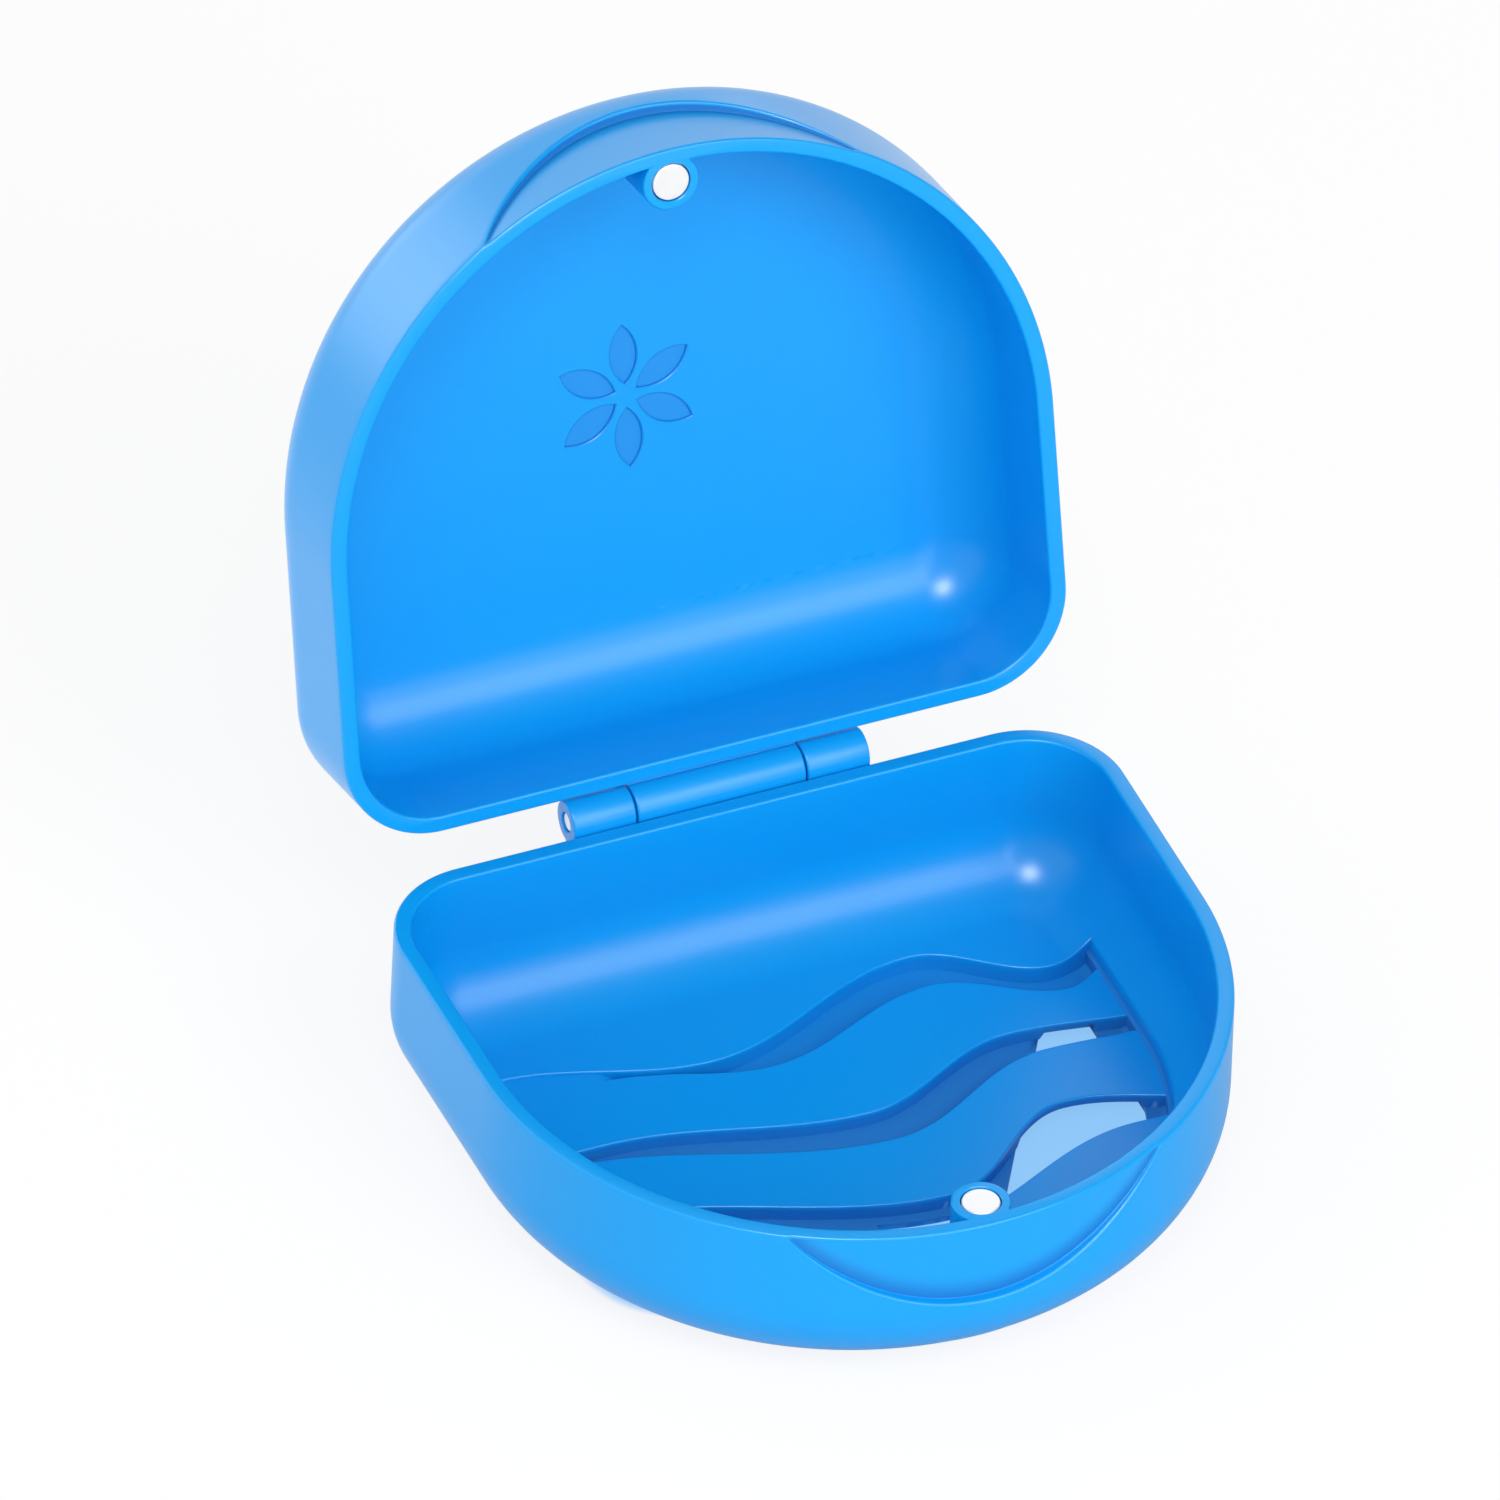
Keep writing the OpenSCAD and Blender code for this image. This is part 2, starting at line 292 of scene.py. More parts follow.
@dataclass(frozen=True)
class Outline:
    """Rim line seen from above: straight back edge, two round corners, straight sides, round front."""

    width: float
    side: float
    corner: float
    left_stop: float
    right_stop: float
    back_steps: int = 36
    corner_steps: int = 26
    side_steps: int = 10
    front_steps: int = 400

    @property
    def half(self) -> float:
        """Half the width, which is the radius of the round front."""
        return self.width / 2

    def walk(self) -> tuple[np.ndarray, np.ndarray, np.ndarray, int, int]:
        """Follows the rim line from the middle of the back edge, left first.

        Each stretch is a straight line or an arc with its outward direction, so that a point moved in
        by d is the rim point less d times that direction.

        Returns:
            Points (n x 2), outward directions (n x 2), angle from straight ahead on the round front
            (elsewhere beyond a quarter turn), and the indices of the left and the right stop.
        """
        h, c, inner = self.half, self.corner, self.half - self.corner
        before = [
            straight_run((0, 0), (-inner, 0), (0, 1), self.back_steps),
            arc_run((-inner, -c), c, 90, 90, self.corner_steps),
            straight_run((-h, -c), (-h, self.left_stop), (-1, 0), self.side_steps),
        ]
        between = [
            straight_run((-h, self.left_stop), (-h, -self.side), (-1, 0), self.side_steps),
            arc_run((0, -self.side), h, 180, 180, self.front_steps, front=True),
            straight_run((h, -self.side), (h, self.right_stop), (1, 0), self.side_steps),
        ]
        after = [
            straight_run((h, self.right_stop), (h, -c), (1, 0), self.side_steps),
            arc_run((inner, -c), c, 0, 90, self.corner_steps),
            straight_run((inner, 0), (0, 0), (0, 1), self.back_steps),
        ]
        points, out, lean = (np.concatenate(part) for part in zip(*before, *between, *after))
        left = sum(len(run[0]) for run in before)
        right = left + sum(len(run[0]) for run in between)
        return points, out, lean, left, right

    def inset_at(self, x: np.ndarray, y: np.ndarray) -> np.ndarray:
        """Distance of plan points from the rim line, inwards.

        Args:
            x: places across.
            y: places from the back edge, negative to the front.

        Returns:
            The distance: from the arc in the front and in the corners, else from the nearest straight.
        """
        ahead = self.half - np.hypot(x, y + self.side)
        beyond = np.abs(x) - (self.half - self.corner)
        level = y + self.corner
        corner = self.corner - np.hypot(beyond, level)
        straight = np.minimum(self.half - np.abs(x), -y)
        return np.where(y < -self.side, ahead, np.where((beyond > 0) & (level > 0), corner, straight))


@dataclass(frozen=True)
class Notch:
    """Crescent scooped out of the front of a rim for the thumb.

    The lip and the foot each take no more than a share of the cut, and the painted shades say how dark
    its ledge and the foot of its face are drawn.
    """

    width: float = 42.0
    depth: float = 10.0
    rim_cut: float = 0.2
    foot_cut: float = 1.1
    fade: float = 0.9
    lip: float = 0.32
    foot: float = 0.1
    most_share: float = 0.45
    ledge_row: float = 0.2
    face_ease: float = 1.7
    # Painted shade: how dark the ledge and the foot of the face are, and the rise over which it fades
    ledge_shade: float = 0.0
    face_shade: float = 1.0
    shade_rise: float = 3.2

    @property
    def radius(self) -> float:
        """Radius of the arc through the notch's ends and its lowest point."""
        return (self.width**2 / 4 + self.depth**2) / (2 * self.depth)


@dataclass(frozen=True)
class Boss:
    """Column behind the front wall that holds a magnet."""

    radius: float = 3.09
    seat: float = 2.15
    seat_depth: float = 2.1
    from_front: float = 4.0
    mouth: float = 0.12
    window: float = math.radians(12.0)
    zone: float = math.radians(30.0)
    unfold: float = 1.4
    around: int = 72


@dataclass(frozen=True)
class Hinge:
    """Knuckles on the back edge, around the hinge line."""

    out: float = 2.4
    up: float = 0.1
    barrel: float = 2.32
    bore: float = 1.09
    gusset: float = 5.0
    drop: float = 0.5
    sink: float = 0.7
    end_round: float = 0.22
    mouth: float = 0.1
    around: int = 120

    def reach(self, angle: np.ndarray) -> np.ndarray:
        """Distance from the hinge line to the outside of a knuckle.

        The circle of the barrel, or where it lies further out the gusset: a slab below the drop, cut by
        the line inside the wall and by the slope from the barrel's lowest point to the gusset's foot.

        Args:
            angle: direction about the hinge line, from +y towards +z.

        Returns:
            The distance in that direction.
        """
        c, s = np.cos(angle), np.sin(angle)
        root = self.out + self.sink
        slope = (self.gusset - self.barrel) / root
        with np.errstate(divide="ignore", invalid="ignore"):
            wall = np.where(c < 0, root / -c, np.inf)
            foot = np.where(s - slope * c < 0, -self.barrel / (s - slope * c), np.inf)
            top = np.where(s < 0, self.drop / -s, np.inf)
        far = np.minimum(wall, foot)
        return np.where((c < 0) & (far > top), np.maximum(far, self.barrel), self.barrel)

    def knuckle(self, draft: Draft, x0: float, x1: float, rim: float) -> None:
        """Adds one knuckle: the outside distance carried along x with rounded ends, and the bore back.

        Args:
            draft: takes the surface.
            x0: left end.
            x1: right end.
            rim: height of the rim.
        """
        angle = circle(self.around)
        turn = quarter(BEND_STEPS)
        far = self.reach(angle)
        near = np.full_like(far, self.bore)
        wide = near + self.mouth
        rounded = far - self.end_round * (1 - np.sin(turn))
        ends = self.end_round * (1 - np.cos(turn))
        mouth = np.array([[self.mouth], [0.0]])
        radius = np.vstack([near, wide, rounded, rounded[::-1], wide, near, near])
        run = np.vstack([x0 + mouth, x0 + ends, x1 - ends[::-1], x1 - mouth[::-1], x0 + mouth[:1]])
        y = self.out + radius * np.cos(angle)
        z = rim + self.up + radius * np.sin(angle)
        draft.grid(stack(run, y, z), closed=True)


@dataclass
class Bowl:
    """One moulded half of the case: outer skin, rim, inner skin and magnet boss."""

    outline: Outline
    height: float
    rounding: float
    rounding_in: float
    floor: float
    wall: float = 1.8
    rim_out: float = 0.3
    rim_in: float = 0.26
    flat_inset: float = 7.9
    flatten: float = 3.0
    swell_steps: int = 20
    face_steps: int = 12
    rim_steps: int = 4
    wall_steps: int = 7
    round_steps: int = 18
    notch: Notch = field(default_factory=Notch)
    boss: Boss = field(default_factory=Boss)
    hinge: Hinge = field(default_factory=Hinge)

    def __post_init__(self) -> None:
        """Walks the rim line once."""
        self.rim, self.out, self.lean, self.left, self.right = self.outline.walk()

    @property
    def boss_ahead(self) -> float:
        """Distance of the boss's axis from the centre of the round front."""
        return self.outline.half - self.boss.from_front

    def ring(self, inset: np.ndarray, z: np.ndarray) -> np.ndarray:
        """Rim line moved in and up: rim point less inset times its outward direction.

        Args:
            inset: rows x 1 or rows x n.
            z: the same.

        Returns:
            Points, rows x n x 3.
        """
        x = self.rim[:, 0] - inset * self.out[:, 0]
        y = self.rim[:, 1] - inset * self.out[:, 1]
        return stack(x, y, z)

    def bossed_ring(self, inset: np.ndarray, z: np.ndarray, radius: np.ndarray | float) -> np.ndarray:
        """Rim line moved in, led round the magnet's column where the column stands out of the wall.

        Samples within the window walk the column's circle from one meeting point with the wall to the
        other; those between window and zone are drawn along the wall towards the meeting point. Where
        the column is wholly inside the wall, the window opens out along the wall again.

        Args:
            inset: rows x 1.
            z: rows x 1.
            radius: the column's radius, rows x 1 or one value.

        Returns:
            Points, rows x n x 3.
        """
        points = self.ring(inset, z)
        near = np.abs(self.lean) < self.boss.zone
        lean = self.lean[near][None, :]
        reach = self.outline.half - inset
        ahead = self.boss_ahead
        meet = np.arccos(np.clip((reach**2 + ahead**2 - radius**2) / (2 * reach * ahead), -1.0, 1.0))
        stands = reach > ahead - radius
        spread = np.clip((ahead - radius - reach) / self.boss.unfold, 0.0, 1.0) * self.boss.window
        meet = np.where(stands, meet, spread)
        round_to = np.arctan2(reach * np.sin(meet), ahead - reach * np.cos(meet))
        share = lean / self.boss.window
        on_column = np.abs(share) <= 1.0
        around = share * round_to
        span = self.boss.zone - self.boss.window
        pulled = meet + (np.abs(lean) - self.boss.window) / span * (self.boss.zone - meet)
        along = np.where(on_column, share * meet, np.sign(lean) * pulled)
        column = on_column & stands
        x = np.where(column, radius * np.sin(around), reach * np.sin(along))
        y = np.where(column, radius * np.cos(around) - ahead, -reach * np.cos(along))
        points[:, near, 0] = x
        points[:, near, 1] = y - self.outline.side
        return points

    def under(self, inset: np.ndarray) -> np.ndarray:
        """Height of the outside at a distance from the rim line.

        A quarter round that runs out gently into the closed face's flat.

        Args:
            inset: distances from the rim line.

        Returns:
            The heights.
        """
        over = np.clip(self.rounding - inset, 0.0, self.rounding)
        height = self.rounding - np.sqrt(self.rounding**2 - over**2)
        return height * smooth((self.flat_inset - inset) / self.flatten)

    def outer(self) -> tuple[np.ndarray, np.ndarray]:
        """Outer skin from the closed face's flat to the top of the rim.

        A quarter round, the upright wall, the notch (a lip, a ledge, a hollow foot and a leaning face,
        all fading out at the notch's ends) and the rounded rim edge. Where the notch's lip reaches into
        the quarter round, the round is pressed down to it.

        Returns:
            Points, rows x n x 3, and the painted shade at each of them, rows x n.
        """
        n, h, r = self.notch, self.height, self.rounding
        first = math.asin(max(0.0, 1 - self.flat_inset / r))
        turn = np.linspace(first, math.pi / 2, self.swell_steps + 1)[:, None]
        swell = r * (1 - np.sin(turn))
        x = np.where(np.abs(self.lean) < math.pi / 2, self.rim[:, 0], self.outline.width)[None, :]
        inside = np.clip(n.width / 2 - np.abs(x), 0.0, None)
        arc_z = h + n.radius - n.depth - np.sqrt(np.clip(n.radius**2 - x**2, 0.0, None))
        ledge = np.where(inside > 0, np.minimum(arc_z, h - self.rim_out), h - self.rim_out)
        fade = smooth(inside / n.fade)

        def cut(z: np.ndarray) -> np.ndarray:
            """Depth of the notch at height z."""
            return fade * (n.rim_cut + (n.foot_cut - n.rim_cut) * (h - z) / n.depth)

        depth = cut(ledge)
        most = n.most_share * depth
        lip = np.minimum(n.lip, most)
        foot = np.minimum(np.minimum(n.foot, most), (h - self.rim_out - ledge) / 2)
        bend = quarter(BEND_STEPS)
        rise = climb(self.face_steps)
        face_z = ledge + foot + (h - self.rim_out - ledge - foot) * rise**n.face_ease
        start = np.minimum(r, ledge - lip)
        # Painted shade: the ledge, the cove and the foot of the face are darkened, fading up the face
        dark = n.face_shade * fade * smooth(1.0 - (face_z - ledge) / n.shade_rise)
        cove_shade = fade * (n.ledge_shade + (n.face_shade - n.ledge_shade) * np.sin(bend) ** 2)
        edge = cut(np.full_like(x, h)) + self.rim_out * (1 - np.cos(bend))
        rows = [
            (swell, self.under(swell) * start / r, 0.0),
            (0 * rise, start + (ledge - lip - start) * rise, 0.0),
            (lip * (1 - np.cos(bend)), ledge - lip + lip * np.sin(bend), 0.0),
            (lip + n.ledge_row * (depth - foot - lip), ledge, fade * n.ledge_shade),
            (depth - foot + foot * np.sin(bend), ledge + foot * (1 - np.cos(bend)), cove_shade),
            (cut(face_z), face_z, dark),
            (edge, h - self.rim_out * (1 - np.sin(bend)), 0.0),
        ]
        parts = [np.broadcast_arrays(i + 0 * x, z + 0 * x, s + 0 * x) for i, z, s in rows]
        shape = np.concatenate([self.ring(i, z) for i, z, _ in parts])
        return shape, np.concatenate([s for _, _, s in parts])

    def inner(self, reach: float) -> np.ndarray:
        """Inner skin from the top of the rim to a place on the rounding above the floor.

        The rounded rim edge, the upright wall and a quarter round up to the given distance.

        Args:
            reach: distance from the rim line at which the skin ends.

        Returns:
            Points, rows x n x 3.
        """
        h, r, w, edge = self.height, self.rounding_in, self.wall, self.rim_in
        bend = quarter(self.rim_steps)
        fall = climb(self.wall_steps)
        turn = math.acos(np.clip(1 - (reach - w) / r, -1.0, 1.0)) * climb(self.round_steps)
        high, low = h - edge, self.floor + r
        inset = np.vstack([w - edge * (1 - np.sin(bend)), w + 0 * fall, w + r * (1 - np.cos(turn))])
        z = np.vstack([h - edge * (1 - np.cos(bend)), high - (high - low) * fall, low - r * np.sin(turn)])
        column = np.full_like(inset, self.boss.radius)
        column[: len(bend)] -= edge * (1 - np.sin(bend))
        return self.bossed_ring(inset, z, column)

    def seat_rows(self) -> np.ndarray:
        """Magnet's seat: a mouth with a small bevel, the bore down to its end, and the end's middle.

        Returns:
            Points, rows x n x 3.
        """
        b = self.boss
        angle = circle(b.around)
        radius = np.array([[b.seat + b.mouth], [b.seat], [b.seat], [b.seat / 2], [0.0]])
        depth = np.array([[0.0], [b.mouth], [b.seat_depth], [b.seat_depth], [b.seat_depth]])
        y = -self.outline.side - self.boss_ahead
        return stack(radius * np.cos(angle), y + radius * np.sin(angle), self.height - depth)

    def skin(self, draft: Draft, reach: float) -> tuple[np.ndarray, np.ndarray]:
        """Adds the outer skin, the rim's top, the inner skin and the magnet's seat.

        Args:
            draft: takes the surfaces.
            reach: where the inner skin ends, from the rim line.

        Returns:
            The last row of the inner skin and the first of the outer skin, each n x 3.
        """
        inner, seat = self.inner(reach), self.seat_rows()
        outer, shade = self.outer()
        draft.grid(outer, closed=True, facing=DOWN, depth=shade)
        draft.grid(inner, closed=True, facing=UP)
        draft.grid(seat, closed=True, facing=UP)
        draft.plate(UP, outer[-1], inner[0], seat[0])
        return inner[-1], outer[0]


@dataclass(frozen=True)
class Groove:
    """Wavy groove between two vent slats, by the turning points of its edges and its left start."""

    back_turns: tuple[Pair, ...]
    front_turns: tuple[Pair, ...]
    start: float = -100.0
    # How dark the groove's painted shade is
    shade: float = 1.0
    taper: float = 4.0
    least: float = 0.3

    @property
    def back(self) -> Curve:
        """Edge towards the hinge."""
        return eased_line(self.back_turns)

    @property
    def front(self) -> Curve:
        """Edge towards the front, kept the least width away from the back edge."""
        far, near = eased_line(self.back_turns), eased_line(self.front_turns)
        return lambda x: np.minimum(near(x), far(x) - self.least)

    def share(self, x: np.ndarray) -> np.ndarray:
        """How deep the groove is at x, from 0 before its start to 1."""
        return smooth((x - self.start) / self.taper)

    def darkness(self, x: np.ndarray) -> np.ndarray:
        """Depth of painted shade in the groove at x."""
        return self.shade * self.share(x)


@dataclass
class VentFloor:
    """Floor of the base: a flat behind, wavy slats and grooves in front, and a window under them.

    The kerb's section runs from its top to below the slats, each point by its share of the kerb's breadth
    and of its fall.
    """

    bowl: Bowl
    field_inset: float = 5.45
    kerb_foot: float = 0.62
    kerb_section: tuple[Pair, ...] = (
        (0.08, 0.06), (0.2, 0.2), (0.32, 0.46), (0.4, 0.74), (0.52, 0.88),
        (0.72, 0.96), (1.0, 0.995), (1.04, 1.15), (1.04, 2.1),
    )
    # Share of the kerb's fall left without painted shade
    kerb_lit: float = 0.1
    slat_z: float = 2.4
    slat_t: float = 0.95
    slat_steps: int = 8
    edge_round: float = 0.2
    edge_steps: int = 3
    settle: float = 0.12
    groove_z: float = 0.7
    skin_t: float = 0.5
    wall_row: float = 0.3
    wall_drop: float = 0.4
    # Painted shade: wall_shade part way down the groove walls, roof_shade under the slats, side_shade on
    # upright walls
    wall_shade: float = 0.75
    window_inset: float = 8.0
    window_x: float = 30.85
    window_back: float = -21.5
    window_front: float = -48.5
    window_back_w: float = 3.8
    window_front_w: float = 14.8
    window_corner: float = 5.0
    overlap: float = 0.45
    roof_shade: float = 0.6
    side_shade: float = 0.8
    drain_left: float = -2.0
    drain_right: float = 6.0
    drain_ledge: float = 1.2
    drain_columns: int = 14
    flat_rows: int = 34
    flat_ease: float = 1.25
    flat_last: float = 0.985
    ruled_rows: int = 3
    ruled_columns: int = 60
    row_rounds: int = 12
    side_rounds: int = 60
    grooves: tuple[Groove, ...] = (
        Groove(
            ((-31, -14), (-8.5, -18.9), (16.5, -11), (29.6, -17.4), (36.5, -15.9)),
            ((-19.5, -17.5), (-3, -21.3), (17, -15.3), (30.2, -20.75), (36, -18.4)),
            start=-20.5,
            shade=0.55,
        ),
        Groove(
            ((-24, -26.7), (3.5, -31.6), (21.5, -25.2), (38, -27.1)),
            ((-30, -28.4), (4.5, -36.2), (24, -28.7), (36, -29.3)),
        ),
        Groove(
            ((-30, -37), (6.5, -46.3), (22.6, -37), (40, -41.5)),
            ((-30, -39), (3, -50.5), (28, -42.5), (40, -43)),
        ),
    )

    @property
    def reach(self) -> float:
        """Half width of the slat field between the straight sides."""
        return self.bowl.outline.half - self.field_inset

    @property
    def roof_z(self) -> float:
        """Height of the slats' undersides above the window."""
        return self.slat_z - self.slat_t

    def half_width(self, y: np.ndarray, inset: float) -> np.ndarray:
        """Half width of the outline moved in: constant beside the sides, a circle in front.

        Args:
            y: places from the back edge, negative to the front.
            inset: how far the outline is moved in.

        Returns:
            The half widths there.
        """
        reach = self.bowl.outline.half - inset
        ahead = np.minimum(y + self.bowl.outline.side, 0.0)
        return np.sqrt(np.clip(reach**2 - ahead**2, 0.0, None))

    def floor_height(self, x: np.ndarray, y: np.ndarray) -> np.ndarray:
        """Height of the plain floor: flat, rising as a quarter round towards the walls.

        Args:
            x: places across.
            y: places from the back edge, negative to the front.

        Returns:
            The heights.
        """
        bowl = self.bowl
        foot = bowl.wall + bowl.rounding_in
        over = np.clip(foot - bowl.outline.inset_at(x, y), 0.0, bowl.rounding_in)
        return bowl.floor + bowl.rounding_in - np.sqrt(bowl.rounding_in**2 - over**2)

    def groove_height(self, groove: Groove, x: np.ndarray, y: np.ndarray) -> np.ndarray:
        """Height of a groove's floor: flat, and rising with the rounded underside near the sides.

        Args:
            groove: the groove.
            x: places across.
            y: places from the back edge, negative to the front.

        Returns:
            The heights.
        """
        inset = self.bowl.outline.inset_at(x, y)
        low = np.maximum(self.groove_z, self.bowl.under(inset) + self.skin_t)
        return self.slat_z - groove.share(x) * (self.slat_z - low)

    def window_left(self, y: np.ndarray) -> np.ndarray:
        """Slanted left side of the window: a straight line from its back corner to its front corner.

        Args:
            y: places from the back edge, negative to the front.

        Returns:
            Places across.
        """
        t = (y - self.window_back) / (self.window_front - self.window_back)
        back = self.window_x - self.window_back_w
        front = self.window_x - self.window_corner - self.window_front_w
        return back + (front - back) * t

    def window_right(self, y: np.ndarray) -> np.ndarray:
        """Right side of the window: straight, bevelled in front, and clear of the rounded side."""
        bevel = self.window_x - np.clip(self.window_front + self.window_corner - y, 0.0, None)
        return np.minimum(np.minimum(self.window_x, bevel), self.half_width(y, self.window_inset))

    def crossing(self, edge: Curve, side: Curve) -> float:
        """Where an edge meets a side of the window, by repeated substitution of one in the other.

        Args:
            edge: the edge, as a function of x.
            side: the side, as a function of y.

        Returns:
            Place across.
        """
        x = np.array(self.window_x - self.window_back_w)
        for _ in range(self.side_rounds):
            x = 0.5 * (x + side(edge(x)))
        return float(x)

    def row(self, across: np.ndarray, edge: Curve, shift: float, level: Height) -> np.ndarray:
        """One line along the slats, from one side of the field to the other.

        Args:
            across: places from -1 to 1 of the field's half width.
            edge: the groove edge that the line follows.
            shift: how far the line lies behind the edge.
            level: height as a function of x and y.

        Returns:
            Points, n x 3.
        """
        x = across * self.reach
        for _ in range(self.row_rounds):
            x = across * self.half_width(edge(x) + shift, self.field_inset)
        y = edge(x) + shift
        return stack(x, y, level(x, y))

    def slats(self, draft: Draft, across: np.ndarray) -> None:
        """Adds the slat tops with rounded edges and the groove walls, from the flat behind to the front.

        Across each groove the section runs over a quarter round, down a wall, up the other wall and over
        a quarter round; it is carried along the groove's wavy edges. Between two grooves the lines
        change evenly from one edge's wave to the other's, and the last ones to the round front.

        Args:
            draft: takes the surfaces.
            across: places of the columns, from -1 to 1.
        """
        bend = quarter(self.edge_steps)[:, 0]
        r, clear = self.edge_round, self.edge_round + self.settle
        level = level_at(self.slat_z)
        lines: list[tuple[np.ndarray, np.ndarray]] = []

        def add(edge: Curve, shift: float, height: Height, painted_shade: Curve = no_painted_shade) -> None:
            """Adds one line with its painted shade."""
            line = self.row(across, edge, shift, height)
            lines.append((line, painted_shade(line[:, 0])))

        def join() -> None:
            """Writes the lines so far as one patch."""
            points, depth = (np.array(part) for part in zip(*lines))
            draft.grid(points, facing=UP, depth=depth)
            lines.clear()

        for number, groove in enumerate(self.grooves):
            back, front, share, dark = groove.back, groove.front, groove.share, groove.darkness
            top, foot = (level if number else self.floor_height), self.wall_foot(groove)
            if number:
                before = self.grooves[number - 1].front
                for w in climb(self.slat_steps)[:, 0]:
                    add(lambda x: (before(x) - clear) * (1 - w) + (back(x) + clear) * w, 0.0, level)
            for a in bend:
                drop = r * (1 - math.cos(a))
                add(back, r * (1 - math.sin(a)), lambda x, y: top(x, y) - drop)
            part, sunk = self.wall_row, r * self.wall_drop
            # Painted shade: a row part way down the wall and the wall's foot are darkened
            add(
                back,
                0.0,
                lambda x, y: top(x, y) * (1 - part) + foot(x, y) * part - sunk,
                lambda x: self.wall_shade * dark(x),
            )
            add(back, 0.0, foot, dark)
            if number:
                join()
            add(front, 0.0, foot, dark)
            for a in bend[::-1]:
                drop = r * (1 - math.cos(a))
                add(front, -r * (1 - math.sin(a)), lambda x, y: self.slat_z - drop * share(x))
            add(front, -clear, level)
        last = lines[-1][0]
        side = self.bowl.outline.side
        angle = np.arctan2(last[[0, -1], 0], -(last[[0, -1], 1] + side))
        lean = angle[0] + (angle[1] - angle[0]) * np.linspace(0.0, 1.0, len(across))
        rim = stack(self.reach * np.sin(lean), -side - self.reach * np.cos(lean), self.slat_z)
        for w in climb(self.slat_steps)[:, 0]:
            lines.append((last * (1 - w) + rim * w, no_painted_shade(lean)))
        join()

    def wall_foot(self, groove: Groove) -> Height:
        """Foot of a groove's walls: its floor, or the slats' undersides above the window.

        Args:
            groove: the groove.

        Returns:
            The foot's height as a function of x and y.
        """

        def level(x: np.ndarray, y: np.ndarray) -> np.ndarray:
            """Height of the foot at plan points.

            Args:
                x: places across.
                y: places from the back edge, negative to the front.

            Returns:
                The heights.
            """
            left, right = self.window_left(y) + self.overlap, self.window_right(y) - self.overlap
            open_below = (x > left) & (x < right) & (y < self.window_back)
            low = self.groove_height(groove, x, y)
            return np.where(open_below & (groove.start < -self.reach), self.roof_z, low)

        return level

    def ruled(self, back: Curve, front: Curve, first: Pair, last: Pair, level: Height) -> np.ndarray:
        """Patch between two edges: straight lines from the back edge to the front edge.

        Args:
            back: edge towards the hinge.
            front: edge towards the front.
            first: left end on the back edge and on the front edge.
            last: right end on each of them.
            level: height as a function of x and y.

        Returns:
            Points, rows x n x 3.
        """
        t = np.linspace(0.0, 1.0, self.ruled_columns)
        xb, xf = (start + (end - start) * t for start, end in zip(first, last))
        w = np.linspace(0.0, 1.0, self.ruled_rows)[:, None]
        x = xb * (1 - w) + xf * w
        y = back(xb) * (1 - w) + front(xf) * w
        return stack(x, y, level(x, y))

    def field_end(self, edge: Curve, side: float) -> float:
        """Place across where an edge meets the left (-1) or right (1) side of the slat field."""
        return float(self.row(np.array([side]), edge, 0.0, level_at(0.0))[0, 0])

    def add_floors(self, draft: Draft) -> None:
        """Adds the blind floors of the two long grooves, around the window and the drain slot.

        Args:
            draft: takes the surfaces.
        """
        # The drain's ledge and the blind floors carry each groove's painted shade
        x0, x1 = (self.drain_left, self.drain_left), (self.drain_right, self.drain_right)
        for groove in self.grooves[1:]:
            b, f = groove.back, groove.front
            level = partial(self.groove_height, groove)
            left, right = ((self.field_end(b, side), self.field_end(f, side)) for side in (-1.0, 1.0))
            sides = (self.window_left, self.window_right)
            open_left, open_right = ((self.crossing(b, side), self.crossing(f, side)) for side in sides)
            spans = [(open_right, right)]
            if groove is self.grooves[-1]:
                spans += [(left, x0), (x1, open_left)]
                ledge = self.ruled(b, lambda x: b(x) - self.drain_ledge, x0, x1, level)
                draft.grid(ledge, facing=UP, depth=groove.shade)
            else:
                spans.append((left, open_left))
            for first, last in spans:
                draft.grid(self.ruled(b, f, first, last, level), facing=UP, depth=groove.shade)

    def drain_loop(self) -> np.ndarray:
        """Outline of the drain slot: its back edge, then its front edge the other way.

        Returns:
            Plan points, n x 2.
        """
        groove = self.grooves[-1]
        x = np.linspace(self.drain_left, self.drain_right, self.drain_columns)
        back = np.stack([x, groove.back(x) - self.drain_ledge], axis=1)
        front = np.stack([x, groove.front(x)], axis=1)[::-1]
        return np.concatenate([back, front])

    def window_lines(self) -> list[tuple[Curve, float, float]]:
        """Lines that cross the window from back to front: its ends and the groove edges between them.

        Returns:
            Each line with its left and its right end.
        """
        lines = [line_at(self.window_back)]
        for groove in self.grooves[1:]:
            lines += [groove.back, groove.front]
        lines.append(line_at(self.window_front))
        return [(e, self.crossing(e, self.window_left), self.crossing(e, self.window_right)) for e in lines]

    def add_window(self, draft: Draft) -> np.ndarray:
        """Adds the slats' undersides above the window and the window's sides.

        Args:
            draft: takes the surfaces.

        Returns:
            Plan outline of the window, n x 2.
        """
        lines = self.window_lines()
